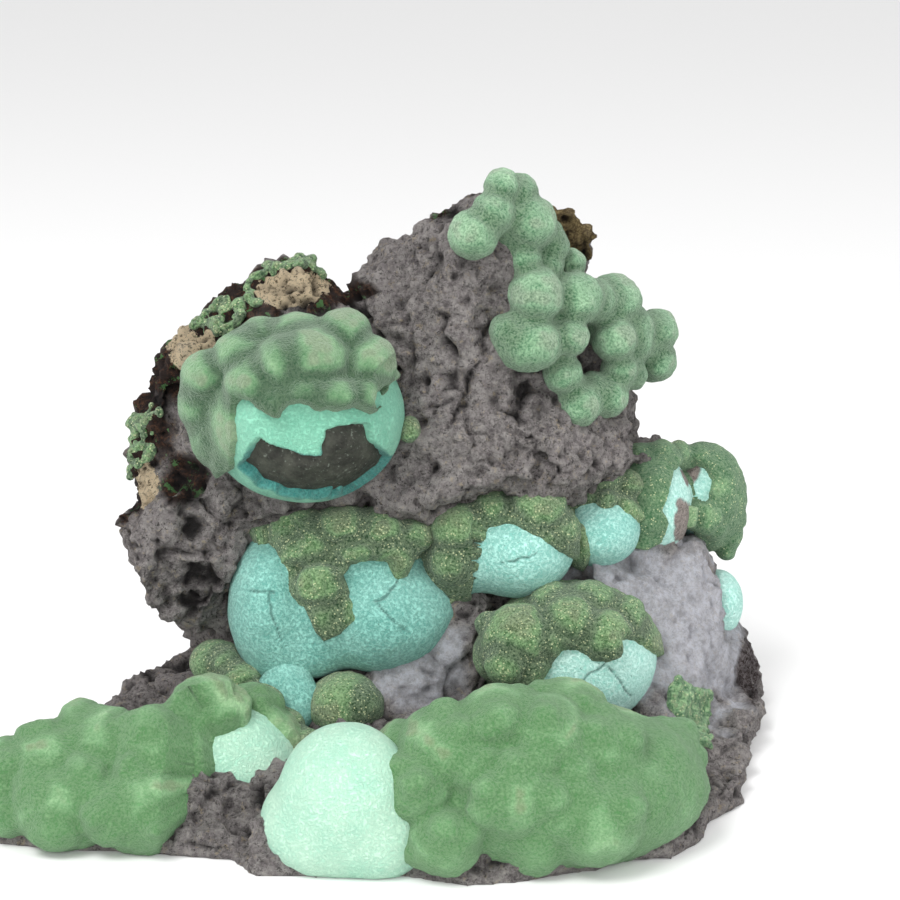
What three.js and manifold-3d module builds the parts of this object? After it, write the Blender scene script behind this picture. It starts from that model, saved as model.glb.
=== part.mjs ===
// A malachite and chrysocolla specimen: round green and turquoise growths on a loose piece of grey rock.
// Millimetres. +X is to the right and +Y to the back as the specimen is shown, +Z is up.
// The origin is the middle of the flat underside that the rock stands on. The tables below count their heights
// from a lower level: every finished piece is set down by the height of the cut foot.
import * as THREE from "three";
import { ConvexGeometry } from "three/addons/geometries/ConvexGeometry.js";
import { ImprovedNoise } from "three/addons/math/ImprovedNoise.js";
import { SimplifyModifier } from "three/addons/modifiers/SimplifyModifier.js";
import { TessellateModifier } from "three/addons/modifiers/TessellateModifier.js";
import { mergeVertices } from "three/addons/utils/BufferGeometryUtils.js";
import Module from "manifold-3d";

// Driving dimensions.
const FOOT = 12; // height at which the rock is cut off flat, counted as in the tables
const GAP = 0.3; // clearance between two pieces that touch
const ROCK_GAP = 0.55; // the same against the rock, measured on its rough surface
const ROCK_CRUST = 0.7; // thickness of a malachite crust on the bare rock
const CRUST = 0.8; // thickness of the malachite skin on a chrysocolla dome
const ROCK_FACET = 6.5; // longest edge of a facet of the rock
const ROCK_SHARE = 0.3; // share of the rock's facets that is kept
const GROWTH_SHARE = 0.32; // share of a growth's facets that is kept
const ROCK_SWELL = { size: 14, height: 2.4 }; // broad swells of the rock's surface
const ROCK_LUMPS = { size: 6, height: 2 }; // knobs and hollows on those swells
const DISPLAY_TILT = THREE.MathUtils.degToRad(14); // how far the specimen is looked down on
const FACE_CUT = -11.3; // depth at which the front of the hooded dome is broken off flat
const CORE_FACE = -10.4; // depth of its dark core's broken face
const CORE_RIND = 1.7; // thickness of the turquoise rind round that core
const LUMP_SIZES = [2.15, 6.5]; // lumps smaller than the first have 20 facets, than the second 80, others 180
const MERGE = 1e-3; // vertices closer than this are one
const GRID = 0.01; // spacing of the grid that the finished vertices lie on
const REACH = 80; // long enough to cut through the whole specimen

const wasm = await Module();
wasm.setup();
const noise = new ImprovedNoise();

const rockGrey = new THREE.MeshStandardMaterial({ color: 0x77706f, roughness: 0.95, metalness: 0 });
const malachiteGreen = new THREE.MeshStandardMaterial({ color: 0x5c8f62, roughness: 0.75, metalness: 0 });
const chrysocollaBlue = new THREE.MeshStandardMaterial({ color: 0x8fd0c2, roughness: 0.9, metalness: 0 });
const coreGrey = new THREE.MeshStandardMaterial({ color: 0x474c45, roughness: 0.7, metalness: 0 });

// A closed geometry as a solid that can be joined and cut.
function solidOf(geometry) {
  geometry.deleteAttribute("normal");
  geometry.deleteAttribute("uv");
  const merged = mergeVertices(geometry, MERGE);
  return new wasm.Manifold(
    new wasm.Mesh({
      numProp: 3,
      vertProperties: merged.attributes.position.array,
      triVerts: new Uint32Array(merged.index.array),
    }),
  );
}

const joined = (solids) => solids.reduce((all, one) => all.add(one));
const without = (solid, cutters) => cutters.reduce((left, cutter) => left.subtract(cutter), solid);

// The largest body of a solid: cutting against the rough rock can leave crumbs.
function largest(solid) {
  return solid.decompose().sort((a, b) => b.volume() - a.volume())[0];
}

// The faces of a solid as a geometry.
function geometryOf(solid) {
  const mesh = solid.getMesh();
  const geometry = new THREE.BufferGeometry();
  geometry.setAttribute("position", new THREE.BufferAttribute(mesh.vertProperties, 3));
  geometry.setIndex(new THREE.BufferAttribute(mesh.triVerts, 1));
  return geometry;
}

// A solid with only a share of its facets, taken away where that changes its form least.
async function thinned(solid, share) {
  const geometry = geometryOf(solid);
  const spare = Math.round(geometry.attributes.position.count * (1 - share));
  return solidOf(await new SimplifyModifier().modify(geometry, spare));
}

// A geometry with its vertices on a fine grid, so that none lie nearly on top of each other.
function onGrid(geometry) {
  const at = geometry.attributes.position.array;
  at.forEach((value, i) => {
    at[i] = Math.round(value / GRID) * GRID;
  });
  return geometry;
}

// A named mesh of a solid's largest body.
function piece(name, solid, material) {
  const geometry = geometryOf(largest(solidOf(onGrid(geometryOf(largest(solid))))));
  geometry.computeVertexNormals();
  geometry.translate(0, 0, -FOOT);
  const made = new THREE.Mesh(geometry, material);
  made.name = name;
  return made;
}

// A round lump, [x, y, z, half width, half depth, half height], grown all round by grow.
function lump([x, y, z, rx, ry = rx, rz = rx], grow = 0) {
  const detail = LUMP_SIZES.filter((size) => Math.max(rx, rz) > size).length;
  const geometry = new THREE.IcosahedronGeometry(1, detail);
  geometry.scale(rx + grow, ry + grow, rz + grow);
  geometry.translate(x, y, z);
  return solidOf(geometry);
}

const lumps = (list, grow = 0) => joined(list.map((one) => lump(one, grow)));

// A prism along the line of sight, from an outline of [across, up] points square to that line.
function sightPrism(outline, near = REACH, far = -REACH) {
  const shape = new THREE.Shape(outline.map(([across, up]) => new THREE.Vector2(across, up)));
  const geometry = new THREE.ExtrudeGeometry(shape, { depth: near - far, bevelEnabled: false });
  geometry.translate(0, 0, far);
  const across = new THREE.Vector3(1, 0, 0);
  const up = new THREE.Vector3(0, Math.sin(DISPLAY_TILT), Math.cos(DISPLAY_TILT));
  const toViewer = new THREE.Vector3().crossVectors(across, up);
  geometry.applyMatrix4(new THREE.Matrix4().makeBasis(across, up, toViewer));
  return solidOf(geometry);
}

// Everything behind a depth, as a box.
function behind(depth) {
  const geometry = new THREE.BoxGeometry(2 * REACH, REACH, 2 * REACH);
  geometry.translate(0, depth + REACH / 2, REACH);
  return solidOf(geometry);
}

// A geometry with every vertex moved out along its normal, by a distance that can depend on the place.
function pushedOut(geometry, distance) {
  geometry.computeVertexNormals();
  const at = geometry.attributes.position;
  const p = new THREE.Vector3();
  const n = new THREE.Vector3();
  for (let i = 0; i < at.count; i++) {
    p.fromBufferAttribute(at, i);
    n.fromBufferAttribute(geometry.attributes.normal, i);
    p.addScaledVector(n, distance(p));
    at.setXYZ(i, p.x, p.y, p.z);
  }
  return geometry;
}

// How far the rock's rough surface stands off its block at a point.
function roughness(p) {
  const swell = noise.noise(p.x / ROCK_SWELL.size, p.y / ROCK_SWELL.size, p.z / ROCK_SWELL.size);
  const knob = noise.noise(p.x / ROCK_LUMPS.size + 9, p.y / ROCK_LUMPS.size, p.z / ROCK_LUMPS.size + 4);
  return ROCK_SWELL.height * swell + ROCK_LUMPS.height * knob;
}

// A block of rock: the hull of its corners, faceted, then roughened along its surface.
function rockBlock(corners, grow = 0) {
  const hull = new ConvexGeometry(corners.map(([x, y, z]) => new THREE.Vector3(x, y, z)));
  hull.deleteAttribute("normal");
  const faceted = new TessellateModifier(ROCK_FACET, 12).modify(hull);
  faceted.deleteAttribute("normal");
  faceted.deleteAttribute("uv");
  return solidOf(pushedOut(mergeVertices(faceted, MERGE), (p) => roughness(p) + grow));
}

// The rock's blocks, by their corners [x, y, z].
const ROCK_BLOCKS = {
  base: [
    [-54, -24, -3], [-36, -33, -3], [-4, -38, -3], [24, -33, -3], [38, -14, -3], [42, 12, -3], [38, 30, -3],
    [6, 36, -3], [-32, 32, -3], [-50, 14, -3], [-55, -20, 12], [-34, -30, 14], [0, -36, 15], [26, -31, 14],
    [36, -12, 16], [41, 14, 18], [36, 31, 20], [4, 36, 22], [-30, 31, 22], [-46, 12, 18],
  ],
  frontTerrace: [
    [-24, -37, 4], [2, -40, 6], [28, -32, 5], [33, -12, 8], [-22, -34, 18], [2, -37, 20], [25, -30, 19],
    [31, -12, 18], [26, 4, 18], [-20, 2, 22], [-26, -12, 18],
  ],
  leftTerrace: [
    [-57, -26, 4], [-38, -31, 5], [-22, -26, 8], [-56, -25, 17], [-38, -28, 18], [-24, -22, 18],
    [-54, -10, 15], [-40, 2, 17], [-24, 2, 22], [-50, -4, 5],
  ],
  middle: [
    [-31, 4, 22], [-29, 5, 45], [-8, 7, 49], [14, 9, 50], [26, 14, 50], [30, 12, 34], [32, 8, 18],
    [34, 32, 20], [29, 30, 47], [4, 32, 48], [-30, 28, 46], [-35, 30, 22], [-36, 10, 30],
  ],
  ridge: [
    [-12, -4, 18], [-9, -5, 24], [-5, -6, 25], [3, -3, 29], [6, -3, 18], [5, 3, 36], [-4, 3, 37],
    [-14, 4, 28], [8, 8, 30],
  ],
  rightSlope: [
    [24, -2, 12], [32, -6, 10], [40, 4, 4], [41, 22, 4], [42, 23, 14], [40, 25, 22], [37, 25, 26],
    [32, 15, 37], [18, 7, 38], [20, 2, 26], [34, 32, 32], [40, 32, 10], [26, 4, 22],
  ],
  crest: [
    [-9, -1, 47], [-2, -3, 49], [6, -2.5, 51], [14, 0, 51], [22.5, 8, 50.5], [24, 15, 55], [-13, 4, 60],
    [-13, 11, 72], [-8, 10, 75], [0, 8, 83.5], [4.5, 6, 85.5], [9, 8, 82], [15.5, 13, 75], [21.5, 17, 68],
    [23.5, 17, 60], [24, 31, 58], [19, 33, 68], [7, 31, 77], [-2, 29, 79], [-14, 29, 68], [-10, 35, 30],
    [24, 35, 30],
  ],
  hump: [
    [-38, 3, 42], [-40, 3, 52], [-35, 4, 64], [-27, 5, 71], [-18, 6, 73], [-11, 4, 68], [-9, 0, 50],
    [-20, -1, 46.5], [-32, -1, 42.5], [-42, 8, 46], [-40.5, 9, 56], [-35, 9, 66.5], [-27, 11, 73.5],
    [-19, 12, 75], [-13, 14, 71.5], [-40, 24, 46], [-36, 27, 60], [-25, 28, 68], [-12, 29, 67], [-10, 34, 30], [-36, 30, 32],
  ],
  knob: [
    [-42.5, 3, 45], [-41, -1, 42], [-38.5, -3, 37], [-36.5, -1, 33], [-31, -1, 32], [-27, 0, 40],
    [-27, -1, 47], [-35, -2, 49], [-42, 14, 45], [-38, 18, 32], [-28, 18, 29], [-26, 14, 50], [-32, 3, 28],
  ],
  backSpur: [
    [9, 21, 79], [12.5, 20, 81], [16, 20, 80.4], [18.6, 21, 77.5], [18.8, 22, 72.5], [15, 31, 66], [8, 31, 76],
    [4, 24, 77], [10, 27, 79.6], [13.5, 27, 80], [16.6, 28, 77], [18.6, 28, 71],
  ],
};

// Clefts and pits in the rock: a lump cut away, [x, y, z, half width, half depth, half height].
const ROCK_HOLLOWS = [
  [-35.5, 0, 51.5, 1.5, 3, 2.2],
  [-34.5, 3, 58.5, 2, 2.5, 4],
  [11.3, -1.5, 51.5, 1.8, 4, 2.6],
  [2.5, -1.5, 57, 1.2, 2.6, 4.5],
  [-12.5, 2.5, 70, 1.6, 3.5, 4.5],
  [-4, -3.5, 48, 1.8, 2.2, 1.5],
  [5, -1, 66, 1.1, 2.4, 4.5],
  [-37, -3.5, 36.5, 1.6, 2, 1.6],
  [25.4, 10.5, 44.5, 5, 5.4, 7],
  [-22, 42, 44, 15, 10, 9],
  [6, 43, 60, 12, 11, 8],
  [20, 41, 34, 11, 9, 8],
  [-48, 24, 60, 9, 12, 9],
  [-6, 42, 24, 13, 9, 5],
  [-42, 36, 36, 12, 10, 8],
  [32, 38, 62, 9, 10, 13],
];

// Everything under a height, as a box.
function under(height) {
  const geometry = new THREE.BoxGeometry(3 * REACH, 3 * REACH, REACH);
  geometry.translate(0, 0, height - REACH / 2);
  return solidOf(geometry);
}

// The whole rock, cut off flat at its foot.
function rock(grow = 0) {
  const blocks = Object.values(ROCK_BLOCKS).map((corners) => rockBlock(corners, grow));
  const hollows = ROCK_HOLLOWS.map((one) => lump(one, -grow));
  return without(joined(blocks), [under(FOOT - grow), ...hollows]);
}

// The growths. dome holds the chrysocolla lumps, bare the outlines where no malachite covers them, in [across, up],
// and green the malachite lumps. Every lump is [x, y, z, half width, half depth, half height].
const GROWTHS = {
  hooded: {
    dome: [[-18.1, 0, 58.5, 12.5, 12.8, 10.8]],
    bare: [[
      [-26.2, 58.8], [-24.9, 58.7], [-22.6, 56.7], [-20.8, 56], [-19.7, 57.8], [-18.1, 58.3], [-15.9, 57.2],
      [-13, 57.1], [-10.8, 57.7], [-9.2, 56.6], [-7.6, 57.7], [-7, 60.5], [-5.4, 62], [-2, 58.4],
      [-2, 42], [-30, 42], [-28.4, 49.3], [-26.7, 49.5], [-26.2, 53.6],
    ]],
    green: [
      [-30.2, -1.5, 60.6, 3.3, 4.5, 4.2], [-28.4, -2.5, 64.4, 3.9, 4.5, 3.3], [-29.2, -2, 56.2, 3, 4.2, 4],
      [-24.9, -5, 66.4, 3.6, 4.5, 3.4], [-22.7, -8.2, 64, 3.5, 3.6, 3.2], [-21.3, -5.5, 68, 3.7, 4.5, 3.2],
      [-17.8, -7, 67.5, 4.2, 4.5, 3.5], [-13.6, -7.5, 67.4, 3.9, 4.2, 3.3], [-9.9, -6, 66.4, 3.4, 4.2, 3.9],
      [-13.2, -2, 69.3, 2.8, 4, 2.6], [-16.6, -10.4, 63.8, 3.6, 2.6, 2.2], [-10.6, -9.4, 63.6, 3.2, 3, 2.4],
    ],
  },
  heart: {
    dome: [
      [-22.8, 3, 32.8, 5.9, 8.8, 9.6], [-9, 3, 31.9, 10, 9.6, 7.7], [-13.5, 6.5, 38.4, 11, 9.5, 5.9],
      [-16.5, 3.5, 32.5, 6, 8, 6],
    ],
    bare: [[
      [-22.9, 42.5], [-21.3, 41.7], [-20.2, 40.1], [-20.1, 37.6], [-19.3, 34.8], [-18.2, 32.1], [-17, 29.5],
      [-15.9, 28], [-14.1, 29.2], [-12.3, 31.1], [-12.4, 32.9], [-13.3, 36.1], [-12.3, 38.3], [-9.8, 39.1],
      [-6.9, 38.8], [-5, 38], [-3.1, 38.8], [-1.1, 37.6], [0.6, 34.6], [2.5, 30.4], [2.5, 18], [-30, 18],
      [-32, 28.5], [-31, 36.7], [-27.5, 41], [-24.7, 42.2],
    ]],
    green: [
      [-16.5, -1.8, 41.3, 2.9, 3, 2.8], [-18.9, 1, 44, 3, 4, 2.5], [-13.7, 1.2, 44, 3.1, 4, 2.5],
      [-8.7, 1.6, 43.4, 3.2, 4, 2.7], [-4.6, 2.5, 42.6, 2.7, 4, 2.6], [-15.9, -3.4, 36.6, 2.8, 2.6, 4.2],
      [-23.4, 1.5, 42, 2.4, 3.4, 2.3],
    ],
  },
  middle: {
    dome: [[8.7, 6, 39.5, 7.5, 8, 6.4], [1, 7, 39.2, 5, 7.2, 7.2]],
    bare: [[
      [3.4, 43.3], [5.9, 44.1], [8.2, 43.7], [12, 41.6], [14.6, 39.6], [17.5, 37.6], [17.5, 28], [2.2, 28],
      [3.2, 34.8], [3, 40.4],
    ]],
    green: [
      [11.1, 5, 45.6, 3.9, 4.4, 3.2], [0.6, 3, 43.7, 3.6, 3.8, 3], [5.3, 5, 45.4, 2.9, 3.6, 2.3],
      [0.2, 1.8, 39.4, 2.9, 2.8, 3], [14, 4.5, 42.4, 2.4, 3.6, 3.3],
    ],
  },
  shelf: {
    dome: [[19.3, 11, 40.8, 5.7, 7, 5.2]],
    bare: [[
      [15, 46], [18, 46.5], [22.1, 46.1], [24.4, 44.1], [27.5, 41.5], [26, 30], [16.8, 30], [17.7, 38.3],
      [17, 42.6], [15.4, 44.3],
    ]],
    green: [
      [20, 7.6, 45.2, 2.1, 2.2, 2], [17.8, 11.5, 45.4, 3.6, 3, 2], [23.2, 13, 45, 2.2, 3, 1.8],
    ],
  },
  rear: {
    dome: [[27, 18, 42, 5.2, 7.4, 7], [34.6, 25, 41.2, 4.8, 5.4, 6.8]],
    bare: [
      [
        [29.8, 50.4], [31.7, 51.3], [33.8, 50.6], [35, 48.6], [34.4, 46], [33, 44.9], [31.2, 45], [30.6, 42.4],
        [31.7, 37.6], [30, 32], [22, 32], [22, 39], [25.5, 39], [27.7, 39.9], [28.8, 42.8], [27.8, 44.5],
        [29, 47.9],
      ],
    ],
    green: [
      [25.2, 18.4, 48, 2.8, 3.6, 2.5], [28.4, 18.6, 48.6, 2.5, 3.6, 2.2], [26, 14, 45.4, 2.9, 3, 2.6],
      [22.8, 15, 43.6, 2.2, 3.2, 3], [24.8, 12.6, 40.8, 2.8, 2.8, 3.2], [30.8, 22.6, 47.9, 2, 3.4, 1.8],
      [33.6, 23.8, 47.4, 2.2, 3.4, 1.8], [36.2, 24.4, 45, 2.2, 3.4, 2.4], [37.9, 24.8, 41.4, 2.1, 3.4, 2.6],
      [38.3, 25, 37.2, 1.8, 3.2, 3.4], [34, 19.8, 40.2, 2.4, 2.8, 2.8], [36.4, 21.6, 39.6, 2.2, 2.8, 2.6],
    ],
  },
  low: {
    dome: [[15.7, 3, 25.7, 11.1, 10, 9.3]],
    bare: [[
      [10.9, 23.1], [13.8, 28.1], [15.8, 27.6], [18.8, 26], [21.7, 26.2], [22.4, 29.2], [24.1, 28.6],
      [27.5, 26], [30, 21.1], [28, 12], [8, 12],
    ]],
    green: [
      [8.4, -3.4, 30.2, 4.8, 4.6, 4.8], [7.4, -5, 27, 3.2, 2.8, 3], [15.3, -2, 32.6, 3.5, 3.6, 3.4],
      [19.5, -2.4, 30.4, 3.4, 3.6, 4.2], [13.2, -4, 30.6, 3, 2.6, 2.9], [17.8, 1.5, 34, 3.6, 4, 2.2],
      [22.6, 1, 31.6, 2.4, 3.6, 3], [5.2, -1, 27.8, 2.3, 3.4, 3.4],
    ],
  },
  frontLeft: {
    dome: [[-26, -12, 16.4, 8.6, 9.4, 8.4]],
    bare: [[
      [-30.6, 21.5], [-28.4, 21.8], [-25.4, 21.9], [-22, 20.4], [-19.3, 17.6], [-17.4, 15.4], [-15, 2],
      [-31.7, 2], [-30.9, 16.1],
    ]],
    green: [
      [-29.3, -16, 25, 5.4, 6, 4.8], [-35, -20, 21.8, 6.6, 7, 5.4], [-41.6, -19, 21.6, 5.4, 6.4, 5],
      [-48, -20, 20.6, 5.6, 6.6, 4.6], [-53.6, -20.5, 18.2, 4.2, 6, 5.2], [-45.4, -25, 16.6, 7.2, 6, 5.4],
      [-36.4, -26.4, 16.6, 6.4, 5.6, 5.6], [-24.4, -9.5, 24.2, 3.6, 4, 2.4],
    ],
  },
  frontRight: {
    dome: [[10, -24, 19, 21, 14.5, 10]],
    bare: [],
    green: [
      [-0.4, -29.5, 25.4, 6.4, 7, 5.4], [5.8, -28.5, 28, 5.4, 6, 4.8], [11.6, -30, 26.6, 5.6, 6, 5.6],
      [17.8, -28.5, 24, 5.8, 6.4, 5.8], [23.8, -25, 20.6, 5.8, 6.8, 6], [-3, -34, 19.6, 5.2, 5.4, 6],
      [6.6, -35, 20, 6.4, 5.6, 6], [15.8, -34.5, 17.8, 6, 5.4, 6],
    ],
  },
};

// Growths of one mineral only.
const CREST_LUMPS = [
  [6.5, 5.5, 86.4, 2.3, 3.4, 2.3], [8.8, 8, 85.2, 2.4, 3.6, 2.4], [5.3, 3.4, 83.3, 2.8, 3.8, 2.8],
  [2.9, 2, 80.9, 3.2, 4.2, 3.2], [9.9, 6.6, 81.7, 3.5, 4.8, 3.5], [11.9, 9.4, 79.6, 2.5, 3.6, 2.5],
  [9.2, 5.4, 77.2, 2.3, 3.2, 2.5], [15.4, 13, 75.4, 2.1, 3.2, 2.1], [10.7, 4, 73, 3.6, 4.8, 3.6],
  [15.9, 8, 71.8, 3.5, 4.8, 3.5], [18.4, 11, 70.8, 3, 4.2, 3], [21.2, 14.5, 70.2, 3.6, 5, 3.6],
  [23.9, 15.5, 65.6, 2.8, 5, 3.9], [21, 11, 66, 3.1, 4.6, 3.1], [27.2, 19, 65.4, 2.8, 5, 2.8],
  [27, 19, 61.4, 2.9, 5, 2.9], [9.8, 3, 67.1, 4.4, 4.8, 3.8], [15, 5, 67.4, 2.6, 3.8, 2.6],
  [14.2, 5.6, 62.6, 2.7, 4, 2.7], [16.4, 6, 58.6, 3, 4.2, 3], [20.2, 9.2, 58.8, 2.8, 4.2, 2.8],
  [21.8, 11.2, 62, 2.5, 4, 2.5],
];
const END_DOME = [[36.4, 21.2, 27.4, 3.4, 5, 4.6]];
const SIDE_KNOB = [[-5, 0, 56.6, 1.5, 2.4, 1.8]];
const FOOT_LEFT = [
  [-30, 2.5, 25.4, 3.6, 4, 2.8], [-26.4, -2.5, 25, 2.6, 3.2, 2], [-23.4, -6.5, 23.4, 2.8, 3.2, 1.9],
  [-20.6, -9.5, 21.2, 2.6, 3, 1.9], [-18, -12.5, 19.4, 2.6, 3.4, 2.2],
];
const FOOT_RIGHT = [[-13.2, -4.8, 22, 4.9, 5, 4.2]];
const FOOT_PATCH = [[-20.6, -4, 25.4, 3.2, 2.6, 2.4], [-18.8, -5.2, 22.8, 2.5, 2.4, 2.3]];
const FRONT_MIDDLE = [
  [-12, -32, 21.2, 8, 8, 8.2], [-14.6, -30.6, 16.6, 8, 7.6, 6.4], [-8.6, -32, 16.4, 7, 6.6, 6.2],
];

// Where thin crusts of malachite lie on the rock's rim, as lumps that bound them.
const RIM_TOP = [[-22.5, 8, 73.6, 3.2, 4, 2.4], [-18.5, 9, 74.4, 3.2, 4, 2.4]];
const RIM_SIDE = [[-29, 5, 70.6, 2.8, 4, 2.4], [-32.6, 5.5, 67.4, 2.8, 4, 2.6]];
const RIM_FOOT = [[-39.4, 4, 56.6, 2.4, 4, 2.8], [-40.4, 3, 52, 2.4, 4, 3]];

// A star-shaped crust of malachite on the right slope, [across, up].
const STAR_OUTLINE = [
  [29.5, 24.1], [30.4, 22.5], [32.6, 21.8], [34.4, 21.2], [33.9, 18.5], [33.5, 14.8], [32.6, 14.2],
  [31.3, 15.2], [29.1, 17.7], [27.3, 19.5], [27.5, 21.9],
];

// The dark core's window in the front of the hooded dome, [across, up].
const CORE_OUTLINE = [
  [-25, 50.9], [-23.3, 53.8], [-20.5, 52.5], [-18.1, 51.7], [-15.6, 51.6], [-14.9, 54.8], [-11.1, 55.7],
  [-9.7, 55.5], [-8.9, 52.9], [-7.7, 51.2], [-9.4, 49.5], [-12.7, 47.9], [-16.3, 47.4], [-19.9, 47.7],
  [-23.2, 49.1],
];

const wholeRock = await thinned(rock(), ROCK_SHARE);
const swollenRock = solidOf(pushedOut(geometryOf(wholeRock), () => ROCK_GAP));
const grownRock = joined([rock(ROCK_GAP), swollenRock, under(FOOT + GAP)]);
const growths = [];
const add = (name, solid, material) => growths.push({ name, solid, material });

// All of a growth, grown by the gap, to cut its neighbours.
const bulk = ({ dome, green }) => lumps(dome, CRUST + GAP).add(lumps(green, GAP));

// The malachite of a growth: a skin on the dome but for its bare places, with round lumps on it.
function crustOf({ dome, bare, green }) {
  const skin = without(lumps(dome, CRUST), bare.map((outline) => sightPrism(outline)));
  return skin.add(lumps(green));
}

// The hooded dome's front is broken off flat, and shows a dark core inside a turquoise rind.
function addHoodedDome({ dome, bare, green }, cutters) {
  const [x, y, z, rx, ry, rz] = dome[0];
  const broken = without(lump(dome[0]).intersect(behind(FACE_CUT)), cutters);
  const inner = [x, y, z, rx - CORE_RIND, ry - CORE_RIND, rz - CORE_RIND];
  const window = sightPrism(CORE_OUTLINE, REACH, 0);
  const core = without(lump(inner).intersect(behind(CORE_FACE)), cutters);
  const rind = without(broken, [lump(inner, GAP).intersect(behind(CORE_FACE - GAP)), window]);
  const hood = without(crustOf({ dome, bare, green }), [lump(dome[0], GAP), ...cutters]);
  add("hooded_dome_core", core, coreGrey);
  add("hooded_dome_chrysocolla", rind, chrysocollaBlue);
  add("hooded_dome_malachite", hood, malachiteGreen);
}

function addGrowth(name, growth, cutters) {
  const domes = without(lumps(growth.dome), cutters);
  const crust = without(crustOf(growth), [lumps(growth.dome, GAP), ...cutters]);
  add(name + "_chrysocolla", domes, chrysocollaBlue);
  add(name + "_malachite", crust, malachiteGreen);
}

function addSingle(name, list, material, cutters) {
  add(name, without(lumps(list), cutters), material);
}

// A crust that follows the rock's own surface, where the rock lies within a region.
const crustedRock = rock(ROCK_GAP + ROCK_CRUST);
function addRockCrust(name, region) {
  add(name, crustedRock.intersect(region).subtract(grownRock), malachiteGreen);
}

const { hooded, heart, middle, shelf, rear, low, frontLeft, frontRight } = GROWTHS;
addHoodedDome(hooded, [grownRock]);
addGrowth("heart_dome", heart, [grownRock, bulk(hooded)]);
addGrowth("middle_dome", middle, [grownRock, bulk(heart)]);
addGrowth("shelf_dome", shelf, [grownRock, bulk(middle)]);
addGrowth("rear_dome", rear, [grownRock, bulk(shelf)]);
addGrowth("low_dome", low, [grownRock, bulk(middle)]);
addGrowth("front_left_dome", frontLeft, [grownRock]);
addSingle("front_middle_chrysocolla", FRONT_MIDDLE, chrysocollaBlue, [grownRock]);
addSingle(
  "front_right_malachite",
  [...frontRight.dome, ...frontRight.green],
  malachiteGreen,
  [grownRock, bulk(low), lumps(FRONT_MIDDLE, GAP)],
);
addSingle("crest_malachite", CREST_LUMPS, malachiteGreen, [grownRock]);
addSingle("side_knob_malachite", SIDE_KNOB, malachiteGreen, [grownRock, bulk(hooded)]);
addSingle("end_dome_chrysocolla", END_DOME, chrysocollaBlue, [grownRock, bulk(rear)]);
addSingle("foot_chrysocolla", FOOT_PATCH, chrysocollaBlue, [grownRock, bulk(heart)]);
const footPatch = lumps(FOOT_PATCH, GAP);
addSingle("foot_malachite_left", FOOT_LEFT, malachiteGreen, [grownRock, bulk(heart), bulk(frontLeft), footPatch]);
addSingle(
  "foot_malachite_right",
  FOOT_RIGHT,
  malachiteGreen,
  [grownRock, bulk(heart), footPatch, lumps(FOOT_LEFT, GAP)],
);
addRockCrust("rim_malachite_top", lumps(RIM_TOP));
addRockCrust("rim_malachite_side", lumps(RIM_SIDE));
addRockCrust("rim_malachite_foot", lumps(RIM_FOOT));
addRockCrust("star_malachite", sightPrism(STAR_OUTLINE, 10, -REACH));

const specimen = new THREE.Group();
specimen.add(piece("matrix_rock", wholeRock, rockGrey));
for (const { name, solid, material } of growths) {
  specimen.add(piece(name, await thinned(largest(solid), GROWTH_SHARE), material));
}

export default specimen;
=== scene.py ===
"""A malachite and chrysocolla specimen: round green and turquoise growths on a craggy piece of grey rock.

The tables hold millimetres. Their heights count from a level FOOT below the floor, and outlines on the specimen
are given square to the line of sight of the display view, as [across, up].
"""
import itertools
import math

import bmesh
import bpy
import numpy as np
from mathutils import Matrix, Vector


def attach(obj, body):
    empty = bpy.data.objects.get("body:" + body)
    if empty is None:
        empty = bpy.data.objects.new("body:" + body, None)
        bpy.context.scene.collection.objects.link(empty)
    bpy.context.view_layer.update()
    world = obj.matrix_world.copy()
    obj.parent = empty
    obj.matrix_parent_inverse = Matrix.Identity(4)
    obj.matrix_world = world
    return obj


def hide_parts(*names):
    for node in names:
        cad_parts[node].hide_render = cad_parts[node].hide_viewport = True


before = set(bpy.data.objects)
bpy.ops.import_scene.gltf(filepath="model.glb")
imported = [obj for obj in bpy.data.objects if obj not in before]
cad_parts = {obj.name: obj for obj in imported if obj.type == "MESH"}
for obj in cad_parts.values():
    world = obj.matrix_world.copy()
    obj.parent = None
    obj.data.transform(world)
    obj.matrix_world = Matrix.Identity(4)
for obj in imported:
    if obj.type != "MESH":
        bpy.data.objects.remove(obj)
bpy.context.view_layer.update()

bl_info = {
    "name": "Malachite specimen",
    "version": (1, 0, 0),
    "blender": (4, 5, 0),
    "location": "3D View > Sidebar > Specimen",
    "description": "Builds the rock, the domes and the lumps of a malachite specimen",
    "category": "Add Mesh",
}

MM = 0.001
FOOT = 12.0

# The display view: its tilt, and its distance in metres from a point that high above the floor.
TILT = math.radians(14)
VIEW_DISTANCE = 0.328
VIEW_HEIGHT = 0.042

# The hooded dome: the depths of its broken face and of its core's face, and the thickness of its rind.
FACE_CUT = -11.3
CORE_FACE = -10.7
CORE_RIND = 1.1

PIECE_LIMIT = 190000  # the rock's triangles
THIN_CELL = 0.28  # spacing of the mesh of the crusts on the rock
EDGE_ROUND = 2.4  # how far in from its edge a crust reaches its full height
NEAR_STEP = 0.01  # step over which a slope is measured
FAR = 9.0  # a distance that nothing reaches

# The distance over which a growth's lumps flow into each other.
HOOD_SOFT = 0.36
DOME_SOFT = 0.26
KNOB_SOFT = 0.4
FRONT_SOFT = 0.16

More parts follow.
